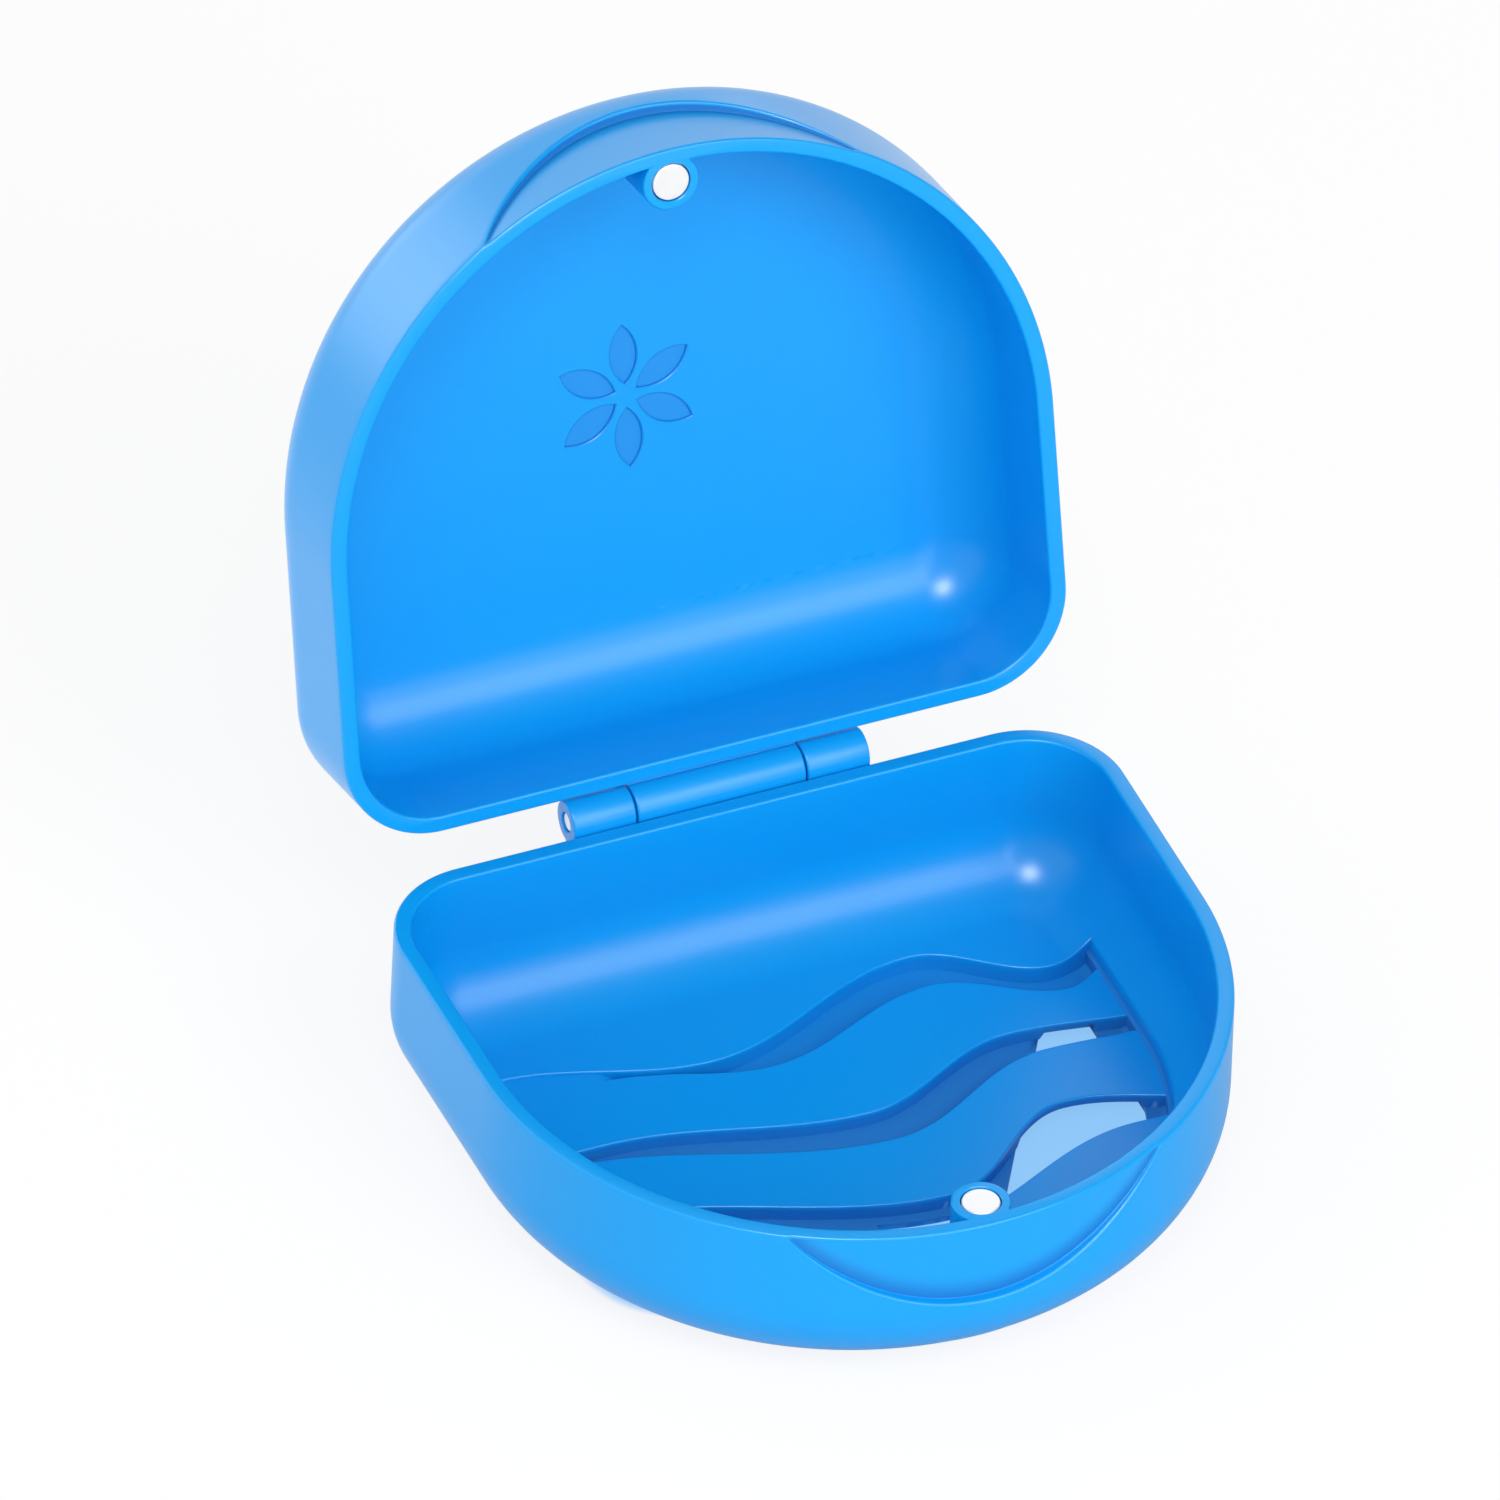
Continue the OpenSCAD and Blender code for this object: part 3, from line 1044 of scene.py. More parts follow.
        # The slats' undersides above the window carry painted shade
        for (b, b0, b1), (f, f0, f1) in zip(lines[::2], lines[1::2]):
            roof = self.ruled(b, f, (b0, f0), (b1, f1), level_at(self.roof_z))
            draft.grid(roof, facing=DOWN, depth=self.roof_shade)
        left = np.array([[x0, float(e(np.array(x0)))] for e, x0, _ in lines])
        right = np.array([[x1, float(e(np.array(x1)))] for e, _, x1 in lines])
        for side, facing in ((left, RIGHT), (right, LEFT)):
            for number in range(len(side) - 1):
                span = side[number : number + 2]
                top = np.full(2, self.roof_z)
                if number % 2:
                    top = self.groove_height(self.grooves[(number + 1) // 2], span[:, 0], span[:, 1])
                self.add_curtain(draft, span, top, facing)
        for end, facing in ((0, FRONT), (-1, BACK)):
            ends = np.array([left[end], right[end]])
            self.add_curtain(draft, ends, np.full(2, self.roof_z), facing)
        return np.concatenate([left, right[::-1]])

    def add_curtain(self, draft: Draft, plan: np.ndarray, high: np.ndarray, facing: Facing) -> None:
        """Adds an upright wall over a plan line, n x 2, from the underside to a height at each point."""
        wall = np.array([stack(plan[:, 0], plan[:, 1], z) for z in (0.0 * high, high)])
        # Upright walls carry painted side shade
        draft.grid(wall, facing=facing, depth=self.side_shade)

    def build(self, draft: Draft, skirt: np.ndarray, sole: np.ndarray) -> None:
        """Adds the whole floor.

        The flat behind is a patch of straight lines from the end of the inner skin to the first wavy
        edge, lifted to the plain floor's height. The front of the inner skin's end drops to the slats.

        Args:
            draft: takes the surfaces.
            skirt: last row of the inner skin, n x 3.
            sole: first row of the outer skin, round the underside's flat, n x 3.
        """
        bowl = self.bowl
        behind = skirt[np.r_[bowl.right : len(skirt), 0 : bowl.left + 1]]
        across = np.linspace(1.0, -1.0, len(behind))
        edge = self.row(across, self.grooves[0].back, self.edge_round, self.floor_height)
        w = np.linspace(0.0, 1.0, self.flat_rows) ** self.flat_ease * self.flat_last
        w = np.append(w, 1.0)[:, None]
        x = behind[:, 0] * (1 - w) + edge[:, 0] * w
        y = behind[:, 1] * (1 - w) + edge[:, 1] * w
        flat = stack(x, y, self.floor_height(x, y))
        flat[0], flat[-1] = behind, edge
        draft.grid(flat, facing=UP)
        self.slats(draft, across)
        self.add_floors(draft)
        self.add_kerb(draft, skirt)
        window = self.add_window(draft)
        drain = self.drain_loop()
        half = len(drain) // 2
        for line, facing in (
            (drain[:half], FRONT),
            (drain[half:], BACK),
            (drain[half - 1 : half + 1], LEFT),
            (drain[[-1, 0]], RIGHT),
        ):
            self.add_curtain(draft, line, np.full(len(line), self.groove_z), facing)
        holes = [stack(plan[:, 0], plan[:, 1], 0.0) for plan in (window, drain)]
        draft.plate(DOWN, sole, *holes)

    def add_kerb(self, draft: Draft, skirt: np.ndarray) -> None:
        """Adds the kerb round the slat field: over a small edge, down a steep face and a hollow foot.

        Args:
            draft: takes the surface.
            skirt: last row of the inner skin, n x 3.
        """
        bowl = self.bowl
        top = float(skirt[bowl.left, 2])
        rise = top - self.slat_z
        along, fall = np.array(self.kerb_section).T[..., None]
        inset = self.field_inset + self.kerb_foot * along
        rows = bowl.bossed_ring(inset, top - rise * fall, bowl.boss.radius)
        part = slice(bowl.left, bowl.right + 1)
        kerb = np.concatenate([skirt[None, part], rows[:, part]])
        # Painted shade: darker down the kerb's face and foot, none on its top edge
        depth = np.clip(fall - self.kerb_lit, 0.0, 1.0)
        draft.grid(kerb, facing=BACK, depth=np.vstack([[[0.0]], depth]))


@dataclass(frozen=True)
class Rosette:
    """Plain six-petal ornament sunk in the lid's inner face."""

    petals: int = 6
    radius: float = 8.2
    hub: float = 1.3
    arc: float = 4.6
    depth: float = 0.35
    from_back: float = 34.6
    bevel: float = 0.12
    # Painted shade in the sunk petals
    shade: float = 0.5
    steps: int = 22

    def petal(self, number: int, inward: float) -> np.ndarray:
        """Outline of one petal between two arcs, drawn in by a distance.

        Args:
            number: which petal.
            inward: how far the arcs are moved in.

        Returns:
            Plan points, n x 2.
        """
        half = (self.radius - self.hub) / 2
        shift = math.sqrt(self.arc**2 - half**2)
        arc = self.arc - inward
        reach = math.acos(shift / arc)
        a = np.linspace(-reach, reach, self.steps, endpoint=False)
        one = np.stack([arc * np.sin(a), arc * np.cos(a) - shift], axis=1)
        loop = np.concatenate([one, -one]) + np.array([self.hub + half, 0.0])
        turn = math.radians(90 + 360 * number / self.petals)
        c, s = math.cos(turn), math.sin(turn)
        return loop @ np.array([[c, s], [-s, c]]) + np.array([0.0, -self.from_back])

    def build(self, draft: Draft, floor: float) -> list[np.ndarray]:
        """Adds the sunk petals: a small bevel, the sides and the bottoms.

        Args:
            draft: takes the surfaces.
            floor: height of the face that they are sunk in.

        Returns:
            Outlines of the openings in that face, each n x 3.
        """
        openings = []
        for number in range(self.petals):
            wide, tight = self.petal(number, -self.bevel / 2), self.petal(number, self.bevel / 2)
            heights = (floor, floor - self.bevel, floor - self.depth)
            rows = np.array([stack(p[:, 0], p[:, 1], z) for p, z in zip((wide, tight, tight), heights)])
            # The petals' sides and bottoms carry painted shade
            draft.grid(rows, closed=True, facing=UP, depth=np.array([[0.0], [self.shade], [self.shade]]))
            draft.plate(UP, rows[-1], depth=self.shade)
            openings.append(rows[0])
        return openings


class Socket:
    """One output of a shader node, with arithmetic that adds Math nodes."""

    def __init__(self, paint: "Paint", link: bpy.types.NodeSocket) -> None:
        """Wraps an output of a node in that material."""
        self.paint, self.link = paint, link

    def _math(self, operation: str, a: "Socket | float", b: "Socket | float") -> "Socket":
        """Adds one Math node."""
        return self.paint.node("ShaderNodeMath", {"operation": operation}, {0: a, 1: b})

    def __add__(self, other: "Socket | float") -> "Socket":
        """Sum."""
        return self._math("ADD", self, other)

    __radd__ = __add__

    def __sub__(self, other: "Socket | float") -> "Socket":
        """Difference."""
        return self._math("SUBTRACT", self, other)

    def __rsub__(self, other: "Socket | float") -> "Socket":
        """Difference, the other way round."""
        return self._math("SUBTRACT", other, self)

    def __mul__(self, other: "Socket | float") -> "Socket":
        """Product."""
        return self._math("MULTIPLY", self, other)

    __rmul__ = __mul__

    def __pow__(self, other: "Socket | float") -> "Socket":
        """Power."""
        return self._math("POWER", self, other)

    def most(self, other: "Socket | float") -> "Socket":
        """The larger of the two."""
        return self._math("MAXIMUM", self, other)

    def held(self) -> "Socket":
        """The value held between 0 and 1."""
        return self.paint.node("ShaderNodeClamp", {}, {"Value": self})


class Paint:
    """Node tree of one material or of the world."""

    def __init__(self, tree: bpy.types.NodeTree) -> None:
        """Empties the tree."""
        self.tree = tree
        tree.nodes.clear()

    def node(self, kind: str, settings: dict, sockets: dict, output: int | str = 0) -> Socket:
        """Adds a node: its settings first, then the values or links of its sockets.

        Args:
            kind: the node's type.
            settings: properties by name.
            sockets: values or links by the input's name or number.
            output: which output to return.

        Returns:
            That output, or None for a node without one.
        """
        made = self.tree.nodes.new(kind)
        for name, value in settings.items():
            setattr(made, name, value)
        for name, value in sockets.items():
            if isinstance(value, Socket):
                self.tree.links.new(value.link, made.inputs[name])
            elif value is not None:
                made.inputs[name].default_value = value
        return Socket(self, made.outputs[output]) if len(made.outputs) else None

    def place(self) -> Socket:
        """The piece's own coordinates, in metres."""
        return self.node("ShaderNodeTexCoord", {}, {}, "Object")

    def noise(self, scale: float, detail: float, rough: float = 0.5) -> Socket:
        """Fractal noise on the piece's coordinates, about 0 to 1."""
        sockets = {"Vector": self.place(), "Scale": scale, "Detail": detail, "Roughness": rough}
        return self.node("ShaderNodeTexNoise", {}, sockets)

    def blend(self, share: Socket, first: Socket | Triple, second: Socket | Triple) -> Socket:
        """Colour between two others."""
        start, end = (c if isinstance(c, Socket) else (*c, 1.0) for c in (first, second))
        sockets = {"Factor": share, MIX_FIRST: start, MIX_SECOND: end}
        return self.node("ShaderNodeMix", {"data_type": "RGBA"}, sockets, MIX_RESULT)

    def vector(self, operation: str, first: Socket | Triple, second: Socket | Triple) -> Socket:
        """One step of arithmetic on vectors."""
        return self.node("ShaderNodeVectorMath", {"operation": operation}, {0: first, 1: second})

    def bump(self, height: Socket, strength: float, distance: float) -> Socket:
        """Normal tilted by a height."""
        sockets = {"Height": height, "Strength": strength, "Distance": distance}
        return self.node("ShaderNodeBump", {}, sockets)

    def mix(self, share: Socket, first: Socket, second: Socket) -> Socket:
        """Shader between two others."""
        return self.node("ShaderNodeMixShader", {}, {0: share, 1: first, 2: second})


@dataclass(frozen=True)
class Finish:
    """A finish: base colours, gloss and the scale of its small irregularities."""

    name: str
    colour: Triple
    second: Triple
    rough: float
    rough_spread: float
    grain: float
    grain_depth: float
    drift: float
    metal: float = 0.0
    specular: float = 0.5
    # Painted shade colour: grooves, hollows and recesses are darkened towards it by the shade attribute
    sunk: Triple | None = None
    shade_rough: float = 0.4
    smear_finer: float = 4.0
    lift: float = 0.35

    def material(self) -> bpy.types.Material:
        """Builds the material.

        Two close colours drift into each other, the gloss wanders with broad faint smears and a fine
        grain, and the grain lifts the surface a little. Painted shade: where the painted shade attribute is
        high, the colour turns to the darker shade colour and the gloss drops.

        Returns:
            The new material.
        """
        made = bpy.data.materials.new(self.name)
        made.use_nodes = True
        paint = Paint(made.node_tree)
        drift = paint.noise(self.drift, detail=3.0)
        smear = paint.noise(self.drift * self.smear_finer, detail=4.0, rough=0.6)
        grain = paint.noise(self.grain, detail=2.0)
        colour = paint.blend(drift.held(), self.colour, self.second)
        rough = (self.rough - self.rough_spread) + smear * self.rough_spread + grain * self.rough_spread
        if self.sunk:
            # Painted shade: the colour darkens towards the shade colour and roughens by the attribute
            painted_shade = paint.node("ShaderNodeAttribute", {"attribute_name": SHADE_ATTRIBUTE}, {}, "Fac").held()
            colour = paint.blend(painted_shade, colour, self.sunk)
            rough = rough + painted_shade * self.shade_rough
        shader = paint.node(
            "ShaderNodeBsdfPrincipled",
            {},
            {
                "Base Color": colour,
                "Roughness": rough.held(),
                "Metallic": self.metal,
                "Specular IOR Level": self.specular,
                "Normal": paint.bump(grain, self.lift, self.grain_depth),
            },
        )
        paint.node("ShaderNodeOutputMaterial", {}, {"Surface": shader})
        return made


class Finishes(Enum):
    """The finishes of this case."""

    BLUE = Finish(
        "moulded_blue",
        colour=(0.0, 0.298, 0.745),
        second=(0.0, 0.318, 0.785),
        rough=0.315,
        rough_spread=0.03,
        grain=2600.0,
        grain_depth=6.0e-6,
        drift=22.0,
        specular=0.4,
        # Painted shade colour of grooves and hollows
        sunk=(0.0, 0.185, 0.56),
    )
    NICKEL = Finish(
        "bright_nickel",
        colour=(0.97, 0.97, 0.97),
        second=(0.93, 0.93, 0.94),
        rough=0.34,
        rough_spread=0.06,
        grain=5200.0,
        grain_depth=6.0e-6,
        drift=160.0,
        metal=0.4,
    )
    STEEL = Finish(
        "drawn_steel",
        colour=(0.95, 0.95, 0.96),
        second=(0.9, 0.9, 0.92),
        rough=0.34,
        rough_spread=0.06,
        grain=4200.0,
        grain_depth=8.0e-6,
        drift=120.0,
        metal=0.45,
    )


def dress(piece: bpy.types.Object, finish: Finishes, body: str, node: str) -> None:
    """Gives a piece its finish in a material slot and its body, and hides the solid that it stands for.

    Args:
        piece: the new piece.
        finish: its finish.
        body: the body that it rides on.
        node: the solid that it replaces.
    """
    name = finish.value.name
    piece.data.materials.append(bpy.data.materials.get(name) or finish.value.material())
    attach(piece, body)
    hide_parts(node)
    LOG.info("%s: %d faces, on %s, for %s", piece.name, len(piece.data.polygons), body, node)


@dataclass
class CaseSizes:
    """Sizes and places of the case, read from the frame where it holds them."""

    corner: float = 10.3
    base_round: float = 9.9
    base_round_in: float = 7.8
    base_floor: float = 2.8
    lid_h: float = 18.8
    lid_round: float = 8.0
    lid_round_in: float = 7.6
    lid_floor: float = 1.8
    open_deg: float = 104.0
    barrel_l: float = 32.8
    lid_knuckle_l: float = 18.6
    knuckle_gap: float = 0.2

    def __post_init__(self) -> None:
        """Reads the width, the length and the hinge line."""
        low, high = (np.array(c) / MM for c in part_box("base_shell"))
        joint = frame["joints"][0]
        self.width = float(np.round(high[0] - low[0], 1))
        self.length = float(np.round(-2 * low[1], 1))
        self.axis_y, self.axis_z = (float(v) / MM for v in joint["pos_m"][1:])
        self.side = self.length - self.width / 2
        self.base_h = self.axis_z - Hinge().up

    def outline(self, left_stop: float, right_stop: float) -> Outline:
        """Rim line with stops on its straight sides."""
        return Outline(self.width, self.side, self.corner, left_stop, right_stop)

    def base_place(self) -> Matrix:
        """From the base's plan to the row frame, in millimetres."""
        return Matrix.Translation((0.0, self.length / 2, 0.0))

    def lid_place(self) -> Matrix:
        """From the lid's plan to the row frame: turned over on the hinge line and swung open.

        Returns:
            The matrix, in millimetres.
        """
        hinge = Hinge()
        over = Matrix.Rotation(math.pi, 4, "Z")
        flat = Matrix.Translation((0.0, hinge.out, -hinge.up - self.lid_h)) @ over
        swing = Matrix.Rotation(math.radians(180.0 - self.open_deg), 4, "X")
        return Matrix.Translation((0.0, self.axis_y, self.axis_z)) @ swing @ flat


@dataclass
class BaseHalf:
    """Lower half: bowl, vent floor and the two outer knuckles."""

    sizes: CaseSizes

    def build(self) -> bpy.types.Object:
        """Makes the lower shell's mesh.

        Returns:
            The new piece.
        """
        s = self.sizes
        rim = VentFloor.edge_round
        first = VentFloor.grooves[0].back
        reach = s.width / 2 - VentFloor.field_inset
        stops = [float(first(np.array(x))) + rim for x in (-reach, reach)]
        bowl = Bowl(s.outline(*stops), s.base_h, s.base_round, s.base_round_in, s.base_floor)
        floor = VentFloor(bowl)
        draft = Draft()
        floor.build(draft, *bowl.skin(draft, floor.field_inset))
        inner = s.lid_knuckle_l / 2 + s.knuckle_gap
        for x0, x1 in ((-s.barrel_l / 2, -inner), (inner, s.barrel_l / 2)):
            bowl.hinge.knuckle(draft, x0, x1, s.base_h)
        return draft.piece("base_bowl", s.base_place())

    def dress(self) -> None:
        """Builds and finishes the lower shell."""
        dress(self.build(), Finishes.BLUE, "base", "base_shell")


@dataclass
class LidHalf:
    """Upper half: bowl, plain floor with its ornament, and the middle knuckle."""

    sizes: CaseSizes
    # Painted shade of the lid's notch: a dark ledge and a dark foot of the face
    notch: Notch = Notch(ledge_shade=1.0, face_shade=0.9, shade_rise=1.2)
    ornament: Rosette = Rosette()
    settle: float = 0.4

    def build(self) -> bpy.types.Object:
        """Makes the upper shell's mesh.

        Returns:
            The new piece.
        """
        s = self.sizes
        middle = -(s.corner + s.side) / 2
        outline = s.outline(middle, middle)
        bowl = Bowl(outline, s.lid_h, s.lid_round, s.lid_round_in, s.lid_floor, notch=self.notch)
        draft = Draft()
        reach = bowl.wall + bowl.rounding_in
        skirt, sole = bowl.skin(draft, reach)
        inset = np.array([[reach + self.settle]])
        flat = bowl.bossed_ring(inset, np.array([[s.lid_floor]]), bowl.boss.radius)[0]
        draft.grid(np.array([skirt, flat]), closed=True, facing=UP)
        draft.plate(UP, flat, *self.ornament.build(draft, s.lid_floor))
        draft.plate(DOWN, sole)
        bowl.hinge.knuckle(draft, -s.lid_knuckle_l / 2, s.lid_knuckle_l / 2, s.lid_h)
        return draft.piece("lid_bowl", s.lid_place())

    def dress(self) -> None:
        """Builds and finishes the upper shell."""
        dress(self.build(), Finishes.BLUE, "lid", "lid_shell")


class Axis(Enum):
    """Ways that a rod may lie."""

    HINGE = "along the hinge"
    UPRIGHT = "upright"


@dataclass
class Hardware:
    """Hinge pin and the two catch magnets."""

    sizes: CaseSizes
    pin_d: float = 2.0
    pin_inset: float = 0.2
    magnet_d: float = 4.0
    magnet_t: float = 2.0
    magnet_inset: float = 0.1
    edge: float = 0.16
    edge_steps: int = 6
    end_rows: Triple = (0.0, 0.5, 0.94)
    around: int = 96

    def profile(self, radius: float, low: float, high: float) -> tuple[np.ndarray, np.ndarray]:
        """Profile of a rod with rounded edges, from the middle of one end to the middle of the other.

        Args:
            radius: the rod's radius.
            low: where it starts.
            high: where it ends.

        Returns:
            Distances from the axis and places along it, as columns.
        """
        turn = quarter(self.edge_steps)
        r = radius - self.edge * (1 - np.sin(turn))
        a = self.edge * (1 - np.cos(turn))
        inner = (radius - self.edge) * np.array(self.end_rows)[:, None]
        distances = np.vstack([inner, r, r[::-1], inner[::-1]])
        return distances, np.vstack([low + 0 * inner, low + a, high - a[::-1], high + 0 * inner])

    def rod(
        self, name: str, radius: float, span: Pair, axis: Axis, centre: Triple, place: Matrix
    ) -> bpy.types.Object:
        """Makes a rod or disc: its profile turned once round an axis.

        Args:
            name: the piece's name.
            radius: its radius.
            span: where it starts and ends along the axis.
            axis: the way that it lies.
            centre: a point of the axis.
            place: matrix from the draft's frame to the row frame, in millimetres.

        Returns:
            The new piece.
        """
        distance, along = self.profile(radius, *span)
        angle = circle(self.around)
        u, v = distance * np.cos(angle), distance * np.sin(angle)
        turned = stack(along, u, v) if axis is Axis.HINGE else stack(u, v, along)
        draft = Draft()
        draft.grid(turned + np.array(centre), closed=True)
        return draft.piece(name, place)

    def dress(self) -> None:
        """Builds and finishes the pin and the magnets."""
        s, boss = self.sizes, Boss()
        end = s.barrel_l / 2 - self.pin_inset
        line = (0.0, s.axis_y, s.axis_z)
        pin = self.rod("hinge_wire", self.pin_d / 2, (-end, end), Axis.HINGE, line, Matrix.Identity(4))
        dress(pin, Finishes.STEEL, "base", "hinge_pin")
        spot = (0.0, boss.from_front - s.length, 0.0)
        for body, rim, place in (("base", s.base_h, s.base_place()), ("lid", s.lid_h, s.lid_place())):
            top = rim - self.magnet_inset
            span = (top - self.magnet_t, top)
            disc = self.rod(f"{body}_disc", self.magnet_d / 2, span, Axis.UPRIGHT, spot, place)
            dress(disc, Finishes.NICKEL, body, f"{body}_magnet")


def towards(azimuth: float, elevation: float) -> Vector:
    """Unit vector from the case to a lamp or camera: azimuth from the front to the right, in degrees."""
    a, e = math.radians(azimuth), math.radians(elevation)
    return Vector((math.sin(a) * math.cos(e), -math.cos(a) * math.cos(e), math.sin(e)))


@dataclass(frozen=True)
class Sky:
    """Soft light from five sides, each spread with the square of the cosine to its side."""

    top: float
    left: float
    right: float
    front: float
    back: float

    def level(self, paint: Paint) -> Socket:
        """Level in a direction: the sum of each side's level times its squared cosine, where positive.

        Args:
            paint: the world's node tree.

        Returns:
            The level.
        """
        way = paint.node("ShaderNodeTexCoord", {}, {}, "Generated")
        x, y, z = (paint.node("ShaderNodeSeparateXYZ", {}, {0: way}, axis) for axis in range(3))
        total = z.most(0.0) ** 2.0 * self.top
        for cosine, low, high in ((x, self.left, self.right), (y, self.front, self.back)):
            total = total + (cosine * -1.0).most(0.0) ** 2.0 * low + cosine.most(0.0) ** 2.0 * high
        return total


@dataclass(frozen=True)
class Lamp:
    """Square lamp that faces the case, at a direction given as for the camera."""

    name: str
    azimuth: float
    elevation: float
    size: float
    watts: float
    matt: bool = True
    far: float = 900.0

    def build(self, aim: Vector) -> None:
        """Hangs the lamp; without matt it lights gloss alone.

        Args:
            aim: the point that it faces, in millimetres.
        """
        back = towards(self.azimuth, self.elevation)
        data = bpy.data.lights.new(self.name, "AREA")
        data.shape = "SQUARE"
        data.size = self.size * MM
        data.energy = self.watts
        made = bpy.data.objects.new(self.name, data)
        made.location = (aim + back * self.far) * MM
        made.rotation_euler = (-back).to_track_quat("-Z", "Y").to_euler()
        made.visible_diffuse = self.matt
        bpy.context.scene.collection.objects.link(made)


@dataclass
class Studio:
    """Pale floor, soft lamps, white surroundings and the photograph's camera."""

    azimuth: float = -24.80
    elevation: float = 40.52
    roll: float = 2.60
    aim: Triple = (0.0, 15.5, 30.0)
    shift_right: float = -5.443
    shift_up: float = 9.707
    px_per_mm: float = 9.815
    distance: float = 600.0
    clip_m: Pair = (0.01, 20.0)
    floor_half: float = 4000.0
    floor_points: int = 9
    floor_z: float = -0.02
    floor_glow: float = 0.85
    pale: Triple = (0.9, 0.9, 0.9)
    pale_second: Triple = (0.92, 0.92, 0.92)
    pale_drift: float = 3.0
    gloss_front: float = 0.05
    gloss_back: float = 1.2
    gloss_reach: float = 0.08
    # Painted shade with blue bounce light under the case: its colour, its glow, middle, half widths and soft
    # edge
    painted_bounce_shade: Triple = (0.3, 0.58, 0.92)
    painted_bounce_glow: Triple = (0.3, 0.62, 1.0)
    painted_bounce_middle: Triple = (0.0, 0.0045, 0.0)
    painted_bounce_half: Triple = (0.0325, 0.0225, 1.0)
    painted_bounce_edge: float = 0.08
    soft: Sky = Sky(top=0.2, left=1.68, right=0.55, front=1.0, back=1.35)
    mirrored: Sky = Sky(top=0.0, left=0.9, right=0.1, front=0.0, back=2.0)
    lamps: tuple[Lamp, ...] = (
        Lamp("key", azimuth=-29.0, elevation=60.0, size=260.0, watts=1.6),
        Lamp("key_spark", azimuth=-29.0, elevation=60.0, size=260.0, watts=6.2, matt=False),
        Lamp("front_window", azimuth=22.0, elevation=39.0, size=480.0, watts=3.2),
        Lamp("low_window", azimuth=10.0, elevation=15.0, size=480.0, watts=1.5),
        Lamp("rim_back", azimuth=-153.0, elevation=5.0, size=500.0, watts=2.2, matt=False),
        Lamp("right_back", azimuth=144.2, elevation=26.8, size=70.0, watts=0.022, matt=False, far=211.0),
    )

    def camera(self) -> None:
        """Places the camera, without perspective, at the photograph's angle."""
        a, r = math.radians(self.azimuth), math.radians(self.roll)
        back = towards(self.azimuth, self.elevation)
        right = Vector((math.cos(a), math.sin(a), 0.0))
        up = back.cross(right)
        turned_right = math.cos(r) * right + math.sin(r) * up
        turned_up = -math.sin(r) * right + math.cos(r) * up
        middle = Vector(self.aim) + self.shift_right * turned_right + self.shift_up * turned_up
        data = bpy.data.cameras.new("photo_camera")
        data.type = "ORTHO"
        data.ortho_scale = PHOTO_PX / self.px_per_mm * MM
        data.clip_start, data.clip_end = self.clip_m
        made = bpy.data.objects.new("photo_camera", data)
        columns = Matrix((turned_right, turned_up, back)).transposed().to_4x4()
        made.matrix_world = Matrix.Translation((middle + back * self.distance) * MM) @ columns
        bpy.context.scene.collection.objects.link(made)
        bpy.context.scene.camera = made

    def surroundings(self) -> None:
        """World: white where it is seen, a soft level by side where it lights, another where it mirrors."""
        world = bpy.data.worlds.new("white_room")
        bpy.context.scene.world = world
        world.use_nodes = True
        paint = Paint(world.node_tree)
        ray = {kind: paint.node("ShaderNodeLightPath", {}, {}, f"Is {kind} Ray") for kind in RAYS}
        seen = ray["Camera"].most(ray["Transmission"])
        unseen = self.soft.level(paint) * (1.0 - ray["Glossy"]) + self.mirrored.level(paint) * ray["Glossy"]
        level = seen + unseen * (1.0 - seen)
        sky = paint.node("ShaderNodeBackground", {}, {"Color": (*WHITE, 1.0), "Strength": level})
        paint.node("ShaderNodeOutputWorld", {}, {"Surface": sky})

    def floor(self) -> None:
        """Pale floor, which keeps a soft shadow and, under the case, painted shade with blue bounce light.

        The painted blue shade fills an oval with flattened sides: the root of the sum of the fourth
        powers of x and y, each over its half width, is below 1. Reflections see the floor as a painted
        glow, dim in front of the case and bright behind, and from below it is clear.
        """
        t = np.linspace(-self.floor_half, self.floor_half, self.floor_points)
        draft = Draft()
        draft.grid(stack(t[None, :], t[:, None], self.floor_z), facing=UP)
        made = draft.piece("studio_floor", Matrix.Identity(4))
        material = bpy.data.materials.new("pale_floor")
        material.use_nodes = True
        paint = Paint(material.node_tree)
        place = paint.place()
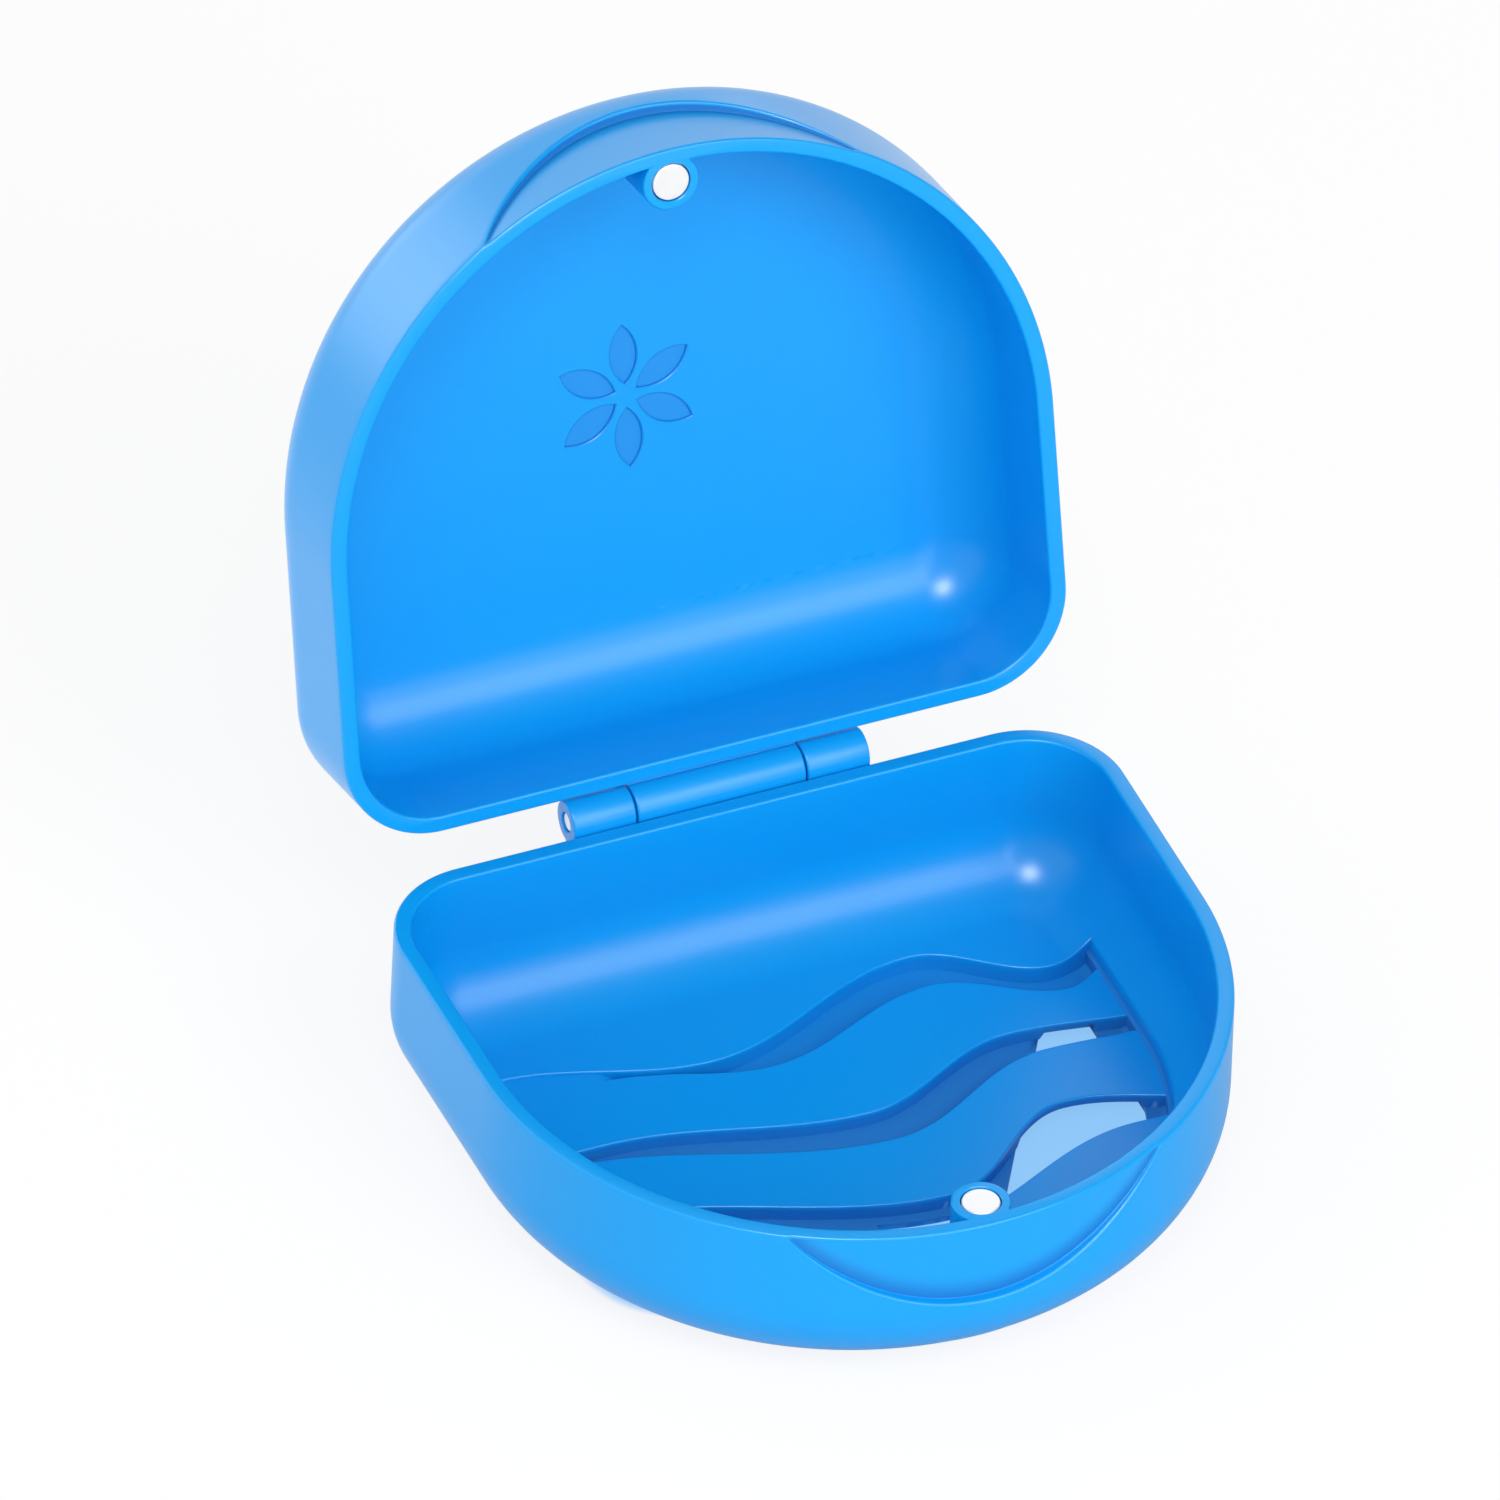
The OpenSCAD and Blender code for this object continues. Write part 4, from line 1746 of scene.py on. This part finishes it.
        # Painted blue shade under the case, fading out at the oval's edge
        oval = paint.vector("DIVIDE", paint.vector("SUBTRACT", place, self.painted_bounce_middle), self.painted_bounce_half)
        squared = paint.vector("MULTIPLY", oval, oval)
        away = paint.node("ShaderNodeVectorMath", {"operation": "LENGTH"}, {0: squared}, "Value")
        open_air = ((away - 1.0) * (1.0 / self.painted_bounce_edge)).held()
        back = paint.node("ShaderNodeSeparateXYZ", {}, {0: place}, "Y")
        behind = (back * (0.5 / self.gloss_reach) + 0.5).held()
        pale = paint.blend(paint.noise(self.pale_drift, detail=2.0).held(), self.pale, self.pale_second)
        matt = paint.node("ShaderNodeBsdfDiffuse", {}, {"Color": paint.blend(open_air, self.painted_bounce_shade, pale)})
        light = paint.blend(open_air, self.painted_bounce_glow, WHITE)
        # Painted reflection: for glossy rays the floor glows dim in front and bright behind
        sheen = paint.blend(behind, (self.gloss_front,) * 3, (self.gloss_back,) * 3)
        glow, dim = (
            paint.node("ShaderNodeEmission", {}, {"Color": colour, "Strength": 1.0})
            for colour in (light, sheen)
        )
        camera, glossy = (
            paint.node("ShaderNodeLightPath", {}, {}, f"Is {kind} Ray") for kind in ("Camera", "Glossy")
        )
        above = paint.mix(glossy, paint.mix(camera * self.floor_glow, matt, glow), dim)
        below = paint.node("ShaderNodeNewGeometry", {}, {}, "Backfacing")
        shown = paint.mix(below, above, paint.node("ShaderNodeBsdfTransparent", {}, {}))
        paint.node("ShaderNodeOutputMaterial", {}, {"Surface": shown})
        made.data.materials.append(material)

    def build(self) -> None:
        """Sets the stage."""
        self.camera()
        self.surroundings()
        self.floor()
        for lamp in self.lamps:
            lamp.build(Vector(self.aim))
        bpy.context.scene.view_settings.view_transform = "Standard"


def main() -> None:
    """Builds the case in order."""
    logging.basicConfig(level=logging.INFO, format="%(name)s: %(message)s")
    sizes = CaseSizes()
    Studio().build()
    BaseHalf(sizes).dress()
    LidHalf(sizes).dress()
    Hardware(sizes).dress()


if __name__ == "__main__":
    main()
